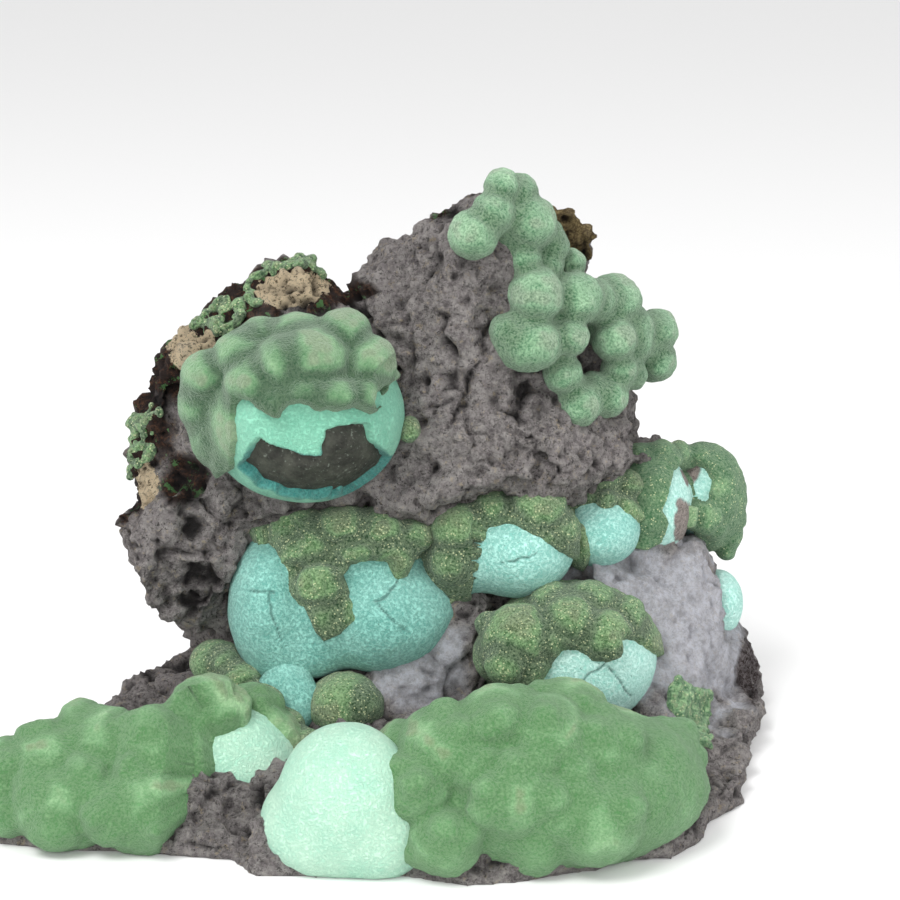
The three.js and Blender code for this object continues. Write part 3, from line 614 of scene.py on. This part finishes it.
def malachite_finish(name, crease, body, crown, olive, painted_glints, grain=0.4, velvet=0.3):
    """Velvety malachite: deep in painted shade in its creases and under its lumps, lighter in painted light on
    its crowns that face up, browner in patches on its crowns, with painted glints.
    """
    made = Finish(name, 0.85, sheen=velvet)
    made.surface.inputs["Sheen Tint"].default_value = (0.75, 0.9, 0.75, 1)
    crown_and_top_light = made.noted("crown")
    cloud = made.noise(0.0035, 3)
    patch = made.noise(0.0048, 2)
    fine = made.patches(0.34, 0.66, 0.00032, 3, 0.75)
    # Painted shade and light: creases and undersides take the deep colour, crowns that face up take the crown
    # colour.
    colour = made.mix(made.ramp(crown_and_top_light + cloud * 0.4 - 0.2, 0.0, 0.55), crease, body)
    colour = made.mix(made.ramp(crown_and_top_light + cloud * 0.8 - 0.4, 0.4, 0.95), colour, crown)
    colour = made.mix(made.ramp(crown_and_top_light + patch * 1.6 - 0.8, 0.5, 0.9) * 0.75, colour, olive)
    colour = made.mix(made.noted("edge") * 0.25, colour, crown)
    colour = made.mix((1 - fine) * grain * 1.3, colour, crease)
    colour = made.mix(fine * grain * 0.7, colour, made.mix(0.5, crown, (0.62, 0.72, 0.5)))
    # Painted glints: tiny pale gold points in the base colour stand in for sparkle.
    if painted_glints:
        glint_patches = made.patches(0.4, 0.62, 0.0024, 3) * painted_glints + painted_glints * 0.25
        spot = made.ramp(made.cells(0.00024), 0.55, 0.3)
        point = made.ramp(made.tones(0.00024, "Green") + glint_patches, 0.95, 1.0) * spot
        colour = made.mix(point * 0.75, colour, (0.58, 0.62, 0.36))
    return made.finished(colour, fine * 0.5 + made.noise(0.0009, 4, 0.7) * 0.8, 0.00022)


def turquoise_finish(name, colour, shade, pale, strength=1.0):
    """Fine-grained chrysocolla: close fine grains, pale clouds, dark specks and thin cracks darkened with painted
    shade.
    """
    made = Finish(name, 0.9, sheen=0.15)
    grain = made.patches(0.36, 0.62, 0.0004, 3, 0.8)
    cloud = made.patches(0.3, 0.7, 0.0045, 4, 0.6)
    skin = made.mix(cloud * 0.55, colour, pale)
    skin = made.mix(grain * 0.4 * strength, skin, pale)
    skin = made.mix((1 - grain) * 0.6 * strength, skin, shade)
    specks = made.patches(0.36, 0.28, 0.0005, 3, 0.8) * strength
    skin = made.mix(specks * 0.75, skin, (0.07, 0.16, 0.13))
    # Painted shade: the cracks darkened nearly to black.
    skin = made.mix(made.noted("crack") * 0.75, skin, (0.05, 0.14, 0.12))
    skin = made.mix(made.noted("worn"), skin, made.mix(grain, paint(96, 88, 82), paint(142, 132, 126)))
    skin = made.mix(made.noted("band"), skin, made.mix(grain * 0.5, paint(46, 112, 106), paint(86, 156, 146)))
    height = grain * 0.6 + made.noise(0.0009, 4) * 0.5 - made.noted("crack")
    return made.finished(skin, height, 0.00018)


def core_finish(colours):
    """The dark broken core."""
    made = Finish("Dark core", 0.7)
    cloud = made.patches(0.3, 0.7, 0.0022, 5, 0.7)
    colour = made.mix(cloud, colours.core, colours.core_light)
    specks = made.patches(0.6, 0.7, 0.0005, 3)
    colour = made.mix(specks * 0.45, colour, (0.24, 0.27, 0.23))
    return made.finished(colour, made.noise(0.0008, 5, 0.7), 0.0004)


def shared(make, name, *values):
    """A material that several pieces share."""
    return bpy.data.materials.get(name) or make(name, *values)


# Pieces.


def rough_rock(sizes):
    """The rock: the node's own form, roughened, with its stains, its painted shade and its painted highlight
    noted.
    """
    made = bmesh.new()
    made.from_mesh(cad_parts["matrix_rock"].data)
    bmesh.ops.remove_doubles(made, verts=made.verts, dist=1e-6)
    piece = remeshed(new_object("rock", made), sizes.rock_cell, 4)
    mesh = piece.data
    points, normals = corners_of(mesh)
    flat = on_display(points)
    front = ease(-normals[:, 1] + 0.4 * normals[:, 2], -0.1, 0.3)
    stains = {}
    for name, patches in STAINS.items():
        amount = np.zeros(len(points))
        for across, up, wide, high in patches:
            far = np.linalg.norm((flat - np.array([across, up])) / np.array([wide, high]), axis=1)
            amount = np.maximum(amount, 1 - ease(far + 0.35 * swells(points, 2.2, 31), 0.75, 1.15))
        stains[name] = amount * front
        note(mesh, name, stains[name])
    grit = grains(points, 2.4, 5)[0]
    crumbs = grains(points + 0.3 * swells(points, 0.7, 6)[:, None], 1.25, 7)[0]
    slab, next_slab = grains(points * np.array([1, 1, 1.5]) + 1.8 * swells(points, 4, 8)[:, None], 8.5, 9)
    pit = grains(points, 3.1, 21)[0]
    pore = grains(points, 1.7, 22)[0]
    lift = 0.95 * swells(points, 4.6, 1) + 0.55 * swells(points, 1.9, 2) + 0.45 * swells(points, 1.05, 3)
    lift += 0.6 * (0.55 - grit) + 0.7 * (0.5 - crumbs) - 0.5 * ease(np.abs(swells(points, 3.2, 10)), 0.12, 0.0)
    lift -= (
        0.6 * (1 - ease(next_slab - slab, 0.0, 0.07)) * (0.5 + swells(points, 5, 19))
        + 0.9 * (1 - ease(pit, 0.1, 0.24))
    )
    lift -= 1.1 * stains["rust"] * (1 - ease(pore, 0.12, 0.42))
    lift *= 1 - 0.45 * stains["lilac"]
    bent = flat + 0.6 * wander(points, 2.2, 17)
    crack = np.min([line_gap(bent, line) for line in ROCK_CRACKS], axis=0)
    lift -= 1.5 * (1 - ease(crack, 0, 0.5)) * (0.6 + 0.6 * swells(points, 2.6, 4)) * (points[:, 1] < 14)
    lift *= ease(points[:, 2] - FOOT, 0.1, 2.0)
    move_corners(mesh, points + normals * (lift * sizes.crag)[:, None], lowest=0.0)
    # Painted shade in the hollows, from how deep the surface was sunk.
    note(mesh, "painted_hollow_shade", ease(-lift, 0.1, 1.3))
    # Painted highlight on the ridges, from how high the surface was raised.
    note(mesh, "painted_ridge_highlight", ease(lift, 0.3, 1.3))
    behind = piece.vertex_groups.new(name="behind")
    share = np.clip(ease(points[:, 1], 8, 20) + ease(FOOT + 1 - points[:, 2], 0, 1), 0.02, 1)
    for level in range(1, 11):
        chosen = np.nonzero(np.round(share * 10) == level)[0]
        behind.add(chosen.tolist(), level / 10, "REPLACE")
    thin = piece.modifiers.new("thin", "DECIMATE")
    thin.ratio = min(1.0, PIECE_LIMIT / (2 * len(mesh.polygons)))
    thin.vertex_group = "behind"
    return settled(piece)


def round_dome(name, rows, cracks, cell):
    """A chrysocolla dome with a slightly uneven skin."""
    piece = remeshed(new_object(name, lumps(rows)), cell, 3)
    mesh = piece.data
    points, normals = corners_of(mesh)
    points = melted(points, rows, 0.9)
    lift = 0.16 * swells(points, 3.4, 11) + 0.05 * swells(points, 1.2, 12) - 0.15
    crack = np.full(len(points), FAR)
    if cracks:
        flat = on_display(points) + 0.35 * wander(points, 1.7, 13)
        crack = np.min([line_gap(flat, line) for line in cracks], axis=0) + 0.05 * swells(points, 0.6, 15)
    split = (1 - ease(crack, 0.02, 0.2)) * (normals[:, 1] < 0)
    move_corners(mesh, points + normals * (lift - 0.16 * split - 0.1)[:, None])
    # crack: the grooves, which the turquoise darkens with painted shade.
    note(mesh, "crack", split)
    note(mesh, "band")
    note(mesh, "worn")
    return piece


def worn(mesh):
    """Notes where the rear dome is worn grey."""
    points, normals = corners_of(mesh)
    flat = on_display(points) + 0.4 * wander(points, 1.1, 25)
    gaps = [np.linalg.norm((flat - row[:2]) / row[2:], axis=1) for row in np.array(WORN)]
    note(mesh, "worn", 1 - ease(np.min(gaps, axis=0), 0.85, 1.05))


def crust(name, growth, cell, sizes, soft, face=None):
    """The malachite of a growth: a skin over its domes and round lumps, sunk out of sight where the dome is bare.

    Lumps flow into each other over the distance soft. A broken dome has its flat face at the depth face.
    """
    skin = sizes.crust_thickness / MM
    grown = [[*row[:3], *(size + skin for size in row[3:])] for row in growth["dome"]]
    piece = remeshed(new_object(name, lumps(grown + growth["green"])), cell, 2)
    mesh = piece.data
    points, normals = corners_of(mesh)
    knobs = knobbled(mesh, points, normals, growth["green"] + grown, sizes, soft)
    points = melted(points, growth["green"] + grown, soft) + normals * knobs[:, None]
    flat = on_display(points) + 0.16 * wander(points, 0.9, 41)
    outside = -depth_inside(flat, growth["bare"])
    covered = ease(outside, -0.2, 0.28)
    gap, away = off_lumps(points, growth["dome"])
    sunk = points - away * (gap + (0.55 if face is None else 2.4))[:, None]
    near = np.clip(outside, 0, EDGE_ROUND)
    tallest = 0.5 + np.sqrt(near * (2 * EDGE_ROUND - near))
    points = points - away * (np.maximum(gap - tallest, 0) * (outside < EDGE_ROUND))[:, None]
    if face is not None:
        points[:, 1] = np.maximum(points[:, 1], face - tallest - FAR * (outside > EDGE_ROUND))
        sunk[:, 1] = np.maximum(sunk[:, 1], face + 1.8)
    move_corners(mesh, sunk + covered[:, None] * (points - sunk))
    note(mesh, "edge", covered * (1 - ease(outside, 0.05, 0.5)))
    return piece


def knobbled(mesh, points, normals, rows, sizes, soft):
    """Small second growths on the lumps, lower on soft ones, and how far each point is from a crease."""
    gaps = np.sort(lump_gaps(points, rows), axis=1)
    apart = gaps[:, 1] - gaps[:, 0] if gaps.shape[1] > 1 else np.full(len(points), 3.0)
    crown = ease(apart, 0.1, 2.6)
    small = grains(points, 1.7, 51)[0]
    # crown: high on lump tops that face up, low in creases and on undersides; the malachite paints painted light
    # and painted shade by it.
    note(mesh, "crown", crown * (0.8 + 0.6 * (0.55 - small)) * ease(normals[:, 2], -1.1, 0.3))
    note(mesh, "edge")
    low = sizes.knobs * (0.5 - small) * max(0.2, 1 - 1.4 * soft)
    return low + 0.12 * swells(points, 2.6, 52) + 0.05 * swells(points, 0.8, 53) - 0.1


def budded(rows, count, seed):
    """Lumps with a few smaller ones seated on each, on the sides that show."""
    choice = np.random.default_rng(seed)
    table = [list(row) for row in rows]
    for x, y, z, wide, deep, high in rows:
        for _ in range(count):
            way = np.array([choice.uniform(-0.9, 0.9), choice.uniform(-1, 0.3), choice.uniform(-0.5, 1)])
            way /= np.linalg.norm(way)
            size = choice.uniform(0.34, 0.56) * (wide + high) / 2
            seat = np.array([x, y, z]) + way * (np.array([wide, deep, high]) - 0.55 * size)
            table.append([*seat, size, size, 0.9 * size])
    return table


def green_lumps(name, rows, cell, sizes, soft):
    """A growth of malachite lumps alone, which flow into each other over the distance soft."""
    piece = remeshed(new_object(name, lumps(rows)), cell, 2)
    points, normals = corners_of(piece.data)
    knobs = knobbled(piece.data, points, normals, rows, sizes, soft)
    move_corners(piece.data, melted(points, rows, soft) + normals * knobs[:, None])
    return piece


def rock_crust(name, within, count, seed):
    """A thin knobbly crust of small lumps on the rock, where the given test of points holds."""
    rock = bpy.data.objects["rock"].data
    points, normals = corners_of(rock)
    cream = np.empty(len(points), np.float32)
    rock.attributes["cream"].data.foreach_get("value", cream)
    places = np.nonzero(within(points, normals) & (cream < 0.25))[0]
    choice = np.random.default_rng(seed)
    picked = choice.choice(places, size=min(count, len(places)), replace=False)
    radii = choice.uniform(0.35, 0.8, len(picked))
    rows = [[*points[i], r, r, r] for i, r in zip(picked, radii)]
    piece = remeshed(new_object(name, lumps(rows, detail=2)), THIN_CELL * MM, 2)
    mesh = piece.data
    at, out = corners_of(mesh)
    small = grains(at, 0.9, 61)[0]
    # crown: high at the middle of each small lump; the malachite paints painted light there and painted shade
    # between the lumps.
    note(mesh, "crown", ease(0.7 - small, 0, 0.5))
    note(mesh, "edge")
    move_corners(mesh, at + out * (0.3 * (0.5 - small))[:, None])
    return piece


def length(name, description, value):
    """A length in metres that a user can change."""
    return bpy.props.FloatProperty(name=name, description=description, default=value, unit="LENGTH")


class SpecimenSizes(bpy.types.PropertyGroup):
    """Sizes of the specimen's surface."""
    rock_cell: length("Rock mesh", "Spacing of the rock's mesh", 0.5 * MM)
    crag: bpy.props.FloatProperty(
        name="Crag", description="Strength of the rock's roughness", default=1.0, min=0, max=2, subtype="FACTOR"
    )
    dome_cell: length("Growth mesh", "Spacing of the mesh of the growths", 0.27 * MM)
    front_cell: length("Front mesh", "Spacing of the mesh of the front mounds", 0.42 * MM)
    crust_thickness: length("Crust", "Thickness of the malachite on the domes", 0.8 * MM)
    knobs: bpy.props.FloatProperty(
        name="Knobs", description="Height in millimetres of the small knobs on the lumps", default=0.45, min=0
    )


def tint(name, description, *value):
    """A colour that a user can change."""
    return bpy.props.FloatVectorProperty(
        name=name, description=description, default=paint(*value), subtype="COLOR", size=3, min=0, max=1
    )


class SpecimenColours(bpy.types.PropertyGroup):
    """Colours of the specimen's minerals."""
    rock: tint("Rock", "Grey-purple rock", 142, 134, 135)
    rock_dark: tint("Dark rock", "Darker parts of the rock", 90, 83, 85)
    rock_light: tint("Light rock", "Pale grains of the rock", 212, 206, 202)
    rock_lilac: tint("Lilac rock", "Pale slope on the right", 238, 240, 250)
    # The near-black is painted shade in the rock's pits and cracks, and also the dark of the rusty rim.
    pit_shade_and_dark_rust: tint("Hollows", "Rock in pits and cracks", 24, 20, 21)
    rock_tan: tint("Tan grains", "Yellowish grains of the rock", 200, 182, 146)
    rust_light: tint("Rust specks", "Red-brown specks of the rim", 104, 70, 50)
    ochre_dark: tint("Dark ochre", "Darker grains of the yellow-brown rock", 98, 82, 56)
    green_olive: tint("Olive patches", "Brownish tops of the malachite lumps", 96, 104, 74)
    rust: tint("Rust", "Dark porous rim", 48, 34, 30)
    ochre: tint("Ochre", "Yellow-brown rock behind the crest", 170, 150, 104)
    cream: tint("Cream", "Pale patches on the rim", 236, 216, 182)
    core: tint("Core", "Dark core of the hooded dome", 40, 40, 36)
    core_light: tint("Core, paler", "Paler parts of the core", 68, 70, 62)
    turquoise: tint("Turquoise", "Chrysocolla domes", 142, 204, 192)
    turquoise_shade: tint("Turquoise, shaded", "Between the domes' grains", 92, 160, 148)
    turquoise_pale: tint("Turquoise, pale", "Tops of the domes' grains", 182, 226, 216)
    # The deep colours are painted shade for creases and undersides, the crown colours painted light for tops that
    # face up.
    green_crease_shade: tint("Deep green", "Malachite in its creases", 22, 52, 26)
    green: tint("Green", "Malachite lumps", 90, 136, 80)
    green_lit_crown: tint("Olive crown", "Tops of the malachite lumps", 112, 146, 94)
    crest: tint("Crest green", "Malachite of the crest", 92, 142, 104)
    crest_crease_shade: tint("Crest creases", "Creases of the crest", 34, 78, 46)
    crest_lit_crown: tint("Crest crowns", "Tops of the crest's lumps", 142, 184, 146)
    front_green: tint("Front green", "Malachite of the front mounds", 104, 150, 102)
    front_lit_crown: tint("Front crowns", "Tops of the front mounds", 146, 184, 138)


def settings(context):
    """The sizes and colours in use."""
    return context.scene.specimen_sizes, context.scene.specimen_colours


def turquoise(colours):
    return shared(
        turquoise_finish, "Turquoise", colours.turquoise, colours.turquoise_shade, colours.turquoise_pale
    )


def dome_green(colours):
    return shared(
        malachite_finish, "Dome malachite",
        colours.green_crease_shade, colours.green, colours.green_lit_crown, colours.green_olive, 0.17, 0.5,
    )


def rear_green():
    # The first colour is painted shade for the creases, the third painted light for the crowns.
    return shared(
        malachite_finish, "Rear malachite",
        paint(48, 92, 58), paint(110, 152, 104), paint(148, 180, 132), paint(112, 122, 92), 0.1,
    )


class SPECIMEN_OT_rock(bpy.types.Operator):
    """Build the matrix rock"""
    bl_idname = "specimen.rock"
    bl_label = "Rock"

    def execute(self, context):
        sizes, colours = settings(context)
        dressed(rough_rock(sizes), "matrix_rock", rock_finish(colours))
        return {"FINISHED"}


class SPECIMEN_OT_hooded_dome(bpy.types.Operator):
    """Build the hooded dome: its dark core, its turquoise rind and its malachite hood"""
    bl_idname = "specimen.hooded_dome"
    bl_label = "Hooded dome"

    def cut_ball(self, name, row, cut, cell):
        """A ball with its front broken off flat."""
        made = lumps([row])
        result = bmesh.ops.bisect_plane(
            made, geom=made.verts[:] + made.edges[:] + made.faces[:], dist=1e-7,
            plane_co=Vector((0, cut * MM, 0)), plane_no=Vector((0, -1, 0)), clear_outer=True,
        )
        rim = [edge for edge in result["geom_cut"] if isinstance(edge, bmesh.types.BMEdge)]
        bmesh.ops.holes_fill(made, edges=rim, sides=0)
        bmesh.ops.triangulate(made, faces=made.faces)
        return remeshed(new_object(name, made), cell, 3)

    def execute(self, context):
        sizes, colours = settings(context)
        row = HOODED["dome"][0]
        inner = [*row[:3], *(size - CORE_RIND for size in row[3:])]
        core = self.cut_ball("hooded_core", inner, CORE_FACE, sizes.dome_cell)
        points, normals = corners_of(core.data)
        lift = 0.22 * swells(points, 2.4, 71) + 0.12 * swells(points, 0.9, 72)
        move_corners(core.data, points + normals * lift[:, None])
        dressed(core, "hooded_dome_core", core_finish(colours))

        rind = self.cut_ball("hooded_rind", row, FACE_CUT, sizes.dome_cell)
        points, normals = corners_of(rind.data)
        flat = on_display(points)
        wobble = 0.2 * wander(points, 1.1, 73)
        below = ease(53.5 - flat[:, 1], 0, 2)
        gap, away = off_lumps(points, [inner])
        seen = on_display(points - away * np.maximum(gap, 0)[:, None])
        start = depth_inside(flat + (seen - flat) * below[:, None] + wobble, CORE_OUTLINE)
        opened = ease(start, -0.15, 0.3) * (points[:, 1] < -3)
        sunk = points - away * (np.maximum(gap, 0) + 0.8)[:, None]
        sunk[:, 1] = np.maximum(sunk[:, 1], CORE_FACE + 0.8)
        even = points + normals * (0.12 * swells(points, 3, 75))[:, None]
        move_corners(rind.data, even + opened[:, None] * (sunk - even))
        note(rind.data, "crack")
        note(rind.data, "band", ease(start, -0.35, -0.05) * below)
        note(rind.data, "worn")
        velvet = turquoise_finish(
            "Velvet turquoise", paint(112, 178, 152), paint(74, 138, 116), paint(142, 202, 176), 0.5
        )
        dressed(rind, "hooded_dome_chrysocolla", velvet)

        hood = crust("hood", HOODED, sizes.dome_cell, sizes, HOOD_SOFT, FACE_CUT)
        # The first colour is painted shade for the creases, the third painted light for the crowns.
        finish = malachite_finish(
            "Hood malachite",
            paint(32, 66, 40), paint(86, 130, 88), paint(122, 160, 118), paint(112, 124, 100), 0, 0.18, 0.5,
        )
        dressed(hood, "hooded_dome_malachite", finish)
        return {"FINISHED"}


class SPECIMEN_OT_domes(bpy.types.Operator):
    """Build the chrysocolla domes of the middle and right, with their malachite"""
    bl_idname = "specimen.domes"
    bl_label = "Domes"

    def execute(self, context):
        sizes, colours = settings(context)
        heart = turquoise_finish(
            "Heart turquoise", paint(114, 176, 164), paint(72, 132, 122), paint(154, 208, 196)
        )
        # A paler turquoise for the low, rear and end domes; on the low dome it is partly painted light,
        # brightened against the shade that the front mounds cast.
        light = turquoise_finish(
            "Light turquoise", paint(176, 228, 216), paint(124, 190, 176), paint(208, 240, 232)
        )
        finishes = {"heart_dome": heart, "low_dome": light, "rear_dome": light}
        cell = sizes.dome_cell
        for name, growth in GROWTHS.items():
            dome = round_dome(name, growth["dome"], growth["cracks"], cell)
            if name == "rear_dome":
                worn(dome.data)
            dressed(dome, name + "_chrysocolla", finishes.get(name) or turquoise(colours))
            green = crust(name + "_crust", growth, cell, sizes, DOME_SOFT)
            finish = rear_green() if name == "rear_dome" else dome_green(colours)
            dressed(green, name + "_malachite", finish)
        for name, rows, finish in (
            ("end_dome_chrysocolla", END_DOME, light), ("foot_chrysocolla", FOOT_PATCH, heart),
        ):
            dressed(round_dome("small_" + name, rows, [], cell), name, finish)
        for name, rows in SMALL.items():
            knob = green_lumps("lumps_" + name, rows, cell, sizes, KNOB_SOFT)
            dressed(knob, name, dome_green(colours))
        return {"FINISHED"}


class SPECIMEN_OT_crest(bpy.types.Operator):
    """Build the chain of malachite lumps down the crest"""
    bl_idname = "specimen.crest"
    bl_label = "Crest"

    def execute(self, context):
        sizes, colours = settings(context)
        crest = green_lumps("crest_lumps", CREST, sizes.dome_cell, sizes, DOME_SOFT)
        finish = malachite_finish(
            "Crest malachite",
            colours.crest_crease_shade, colours.crest, colours.crest_lit_crown, paint(118, 130, 112), 0, 0.45, 0.5,
        )
        dressed(crest, "crest_malachite", finish)
        return {"FINISHED"}


class SPECIMEN_OT_front_mounds(bpy.types.Operator):
    """Build the mounds along the front"""
    bl_idname = "specimen.front_mounds"
    bl_label = "Front mounds"

    def execute(self, context):
        sizes, colours = settings(context)
        # The first colour is painted shade for the creases, the third painted light for the crowns.
        finish = malachite_finish(
            "Front malachite",
            paint(70, 116, 68), colours.front_green, colours.front_lit_crown, paint(104, 116, 84), 0, 0.25, 0.3,
        )
        pale = turquoise_finish(
            "Pale turquoise", paint(160, 208, 184), paint(128, 186, 162), paint(196, 224, 202), 0.5
        )
        cell = sizes.front_cell
        left = round_dome("front_left_dome", FRONT_LEFT["dome"], [], cell)
        dressed(left, "front_left_dome_chrysocolla", pale)
        budding = {**FRONT_LEFT, "green": budded(FRONT_LEFT["green"], 3, 3)}
        green = crust("front_left_crust", budding, cell, sizes, FRONT_SOFT)
        dressed(green, "front_left_dome_malachite", finish)
        middle = round_dome("front_middle_dome", FRONT_MIDDLE, [], cell)
        dressed(middle, "front_middle_chrysocolla", pale)
        rows = FRONT_RIGHT[:1] + budded(FRONT_RIGHT[1:], 4, 4)
        right = green_lumps("front_right_lumps", rows, cell, sizes, FRONT_SOFT)
        dressed(right, "front_right_malachite", finish)
        return {"FINISHED"}


class SPECIMEN_OT_rock_crusts(bpy.types.Operator):
    """Build the thin malachite crusts on the rock"""
    bl_idname = "specimen.rock_crusts"
    bl_label = "Crusts on the rock"

    def execute(self, context):
        colours = context.scene.specimen_colours
        for seed, (name, rows) in enumerate(RIM_CRUSTS.items()):
            def within(points, normals, rows=rows):
                return (lump_gaps(points, rows).min(axis=1) < 0.6) & (normals[:, 1] < 0.5)
            piece = rock_crust("crust_" + name, within, 60, seed)
            dressed(piece, name, dome_green(colours))

        def on_star(points, normals):
            inside = depth_inside(on_display(points), STAR_OUTLINE) > 0.5
            return inside & (normals[:, 1] < 0.1) & (points[:, 1] < 30)
        star = rock_crust("star_crust", on_star, 260, 9)
        dressed(star, "star_malachite", rear_green())
        return {"FINISHED"}


class SPECIMEN_OT_stage(bpy.types.Operator):
    """Set up the floor, the light and the camera"""
    bl_idname = "specimen.stage"
    bl_label = "Stage"

    def softbox(self, name, place, target, size, power):
        """A large soft lamp that faces the specimen."""
        lamp = bpy.data.lights.new(name, "AREA")
        lamp.shape = "SQUARE"
        lamp.size = size
        lamp.energy = power
        holder = bpy.data.objects.new(name, lamp)
        holder.location = place
        holder.rotation_euler = (Vector(target) - Vector(place)).to_track_quat("-Z", "Y").to_euler()
        bpy.context.scene.collection.objects.link(holder)

    def execute(self, context):
        scene = context.scene
        made = bmesh.new()
        bmesh.ops.create_grid(made, x_segments=1, y_segments=1, size=3)
        floor = new_object("floor", made)
        ground = Finish("Pale floor", 0.9)
        ground.surface.inputs["Base Color"].default_value = (0.86, 0.86, 0.86, 1)
        floor.data.materials.append(ground.material)
        world = bpy.data.worlds.new("Studio")
        world.use_nodes = True
        background = world.node_tree.nodes["Background"].inputs
        background["Color"].default_value = (1, 1, 1, 1)
        background["Strength"].default_value = 0.9
        scene.world = world
        self.softbox("Key light", (-0.25, -0.35, 0.6), (0, 0, 0.04), 0.3, 3.4)
        self.softbox("Fill light", (0.5, -0.3, 0.35), (0, 0, 0.04), 0.4, 1.0)
        self.softbox("Front light", (-0.05, -0.6, 0.22), (0, 0, 0.03), 0.35, 1.6)
        lens = bpy.data.cameras.new("Camera")
        lens.lens = 105
        lens.sensor_width = 36
        lens.clip_start = 0.01
        camera = bpy.data.objects.new("Camera", lens)
        camera.location = (
            0, -VIEW_DISTANCE * math.cos(TILT), VIEW_HEIGHT + VIEW_DISTANCE * math.sin(TILT)
        )
        camera.rotation_euler = (math.radians(90) - TILT, 0, 0)
        scene.collection.objects.link(camera)
        scene.camera = camera
        scene.view_settings.view_transform = "Standard"
        return {"FINISHED"}


class SPECIMEN_PT_panel(bpy.types.Panel):
    """The steps that build the specimen"""
    bl_idname = "SPECIMEN_PT_panel"
    bl_label = "Specimen"
    bl_space_type = "VIEW_3D"
    bl_region_type = "UI"
    bl_category = "Specimen"

    def draw(self, context):
        column = self.layout.column()
        for name in SpecimenSizes.__annotations__:
            column.prop(context.scene.specimen_sizes, name)
        for name in SpecimenColours.__annotations__:
            column.prop(context.scene.specimen_colours, name)
        for step in STEPS:
            column.operator(step.bl_idname)


STEPS = (
    SPECIMEN_OT_rock,
    SPECIMEN_OT_hooded_dome,
    SPECIMEN_OT_domes,
    SPECIMEN_OT_crest,
    SPECIMEN_OT_front_mounds,
    SPECIMEN_OT_rock_crusts,
    SPECIMEN_OT_stage,
)
CLASSES = (SpecimenSizes, SpecimenColours, *STEPS, SPECIMEN_PT_panel)


def register():
    for part in CLASSES:
        bpy.utils.register_class(part)
    bpy.types.Scene.specimen_sizes = bpy.props.PointerProperty(type=SpecimenSizes)
    bpy.types.Scene.specimen_colours = bpy.props.PointerProperty(type=SpecimenColours)


def unregister():
    del bpy.types.Scene.specimen_colours
    del bpy.types.Scene.specimen_sizes
    for part in reversed(CLASSES):
        bpy.utils.unregister_class(part)


def main():
    register()
    bpy.ops.specimen.rock()
    bpy.ops.specimen.hooded_dome()
    bpy.ops.specimen.domes()
    bpy.ops.specimen.crest()
    bpy.ops.specimen.front_mounds()
    bpy.ops.specimen.rock_crusts()
    bpy.ops.specimen.stage()


if __name__ == "__main__":
    main()
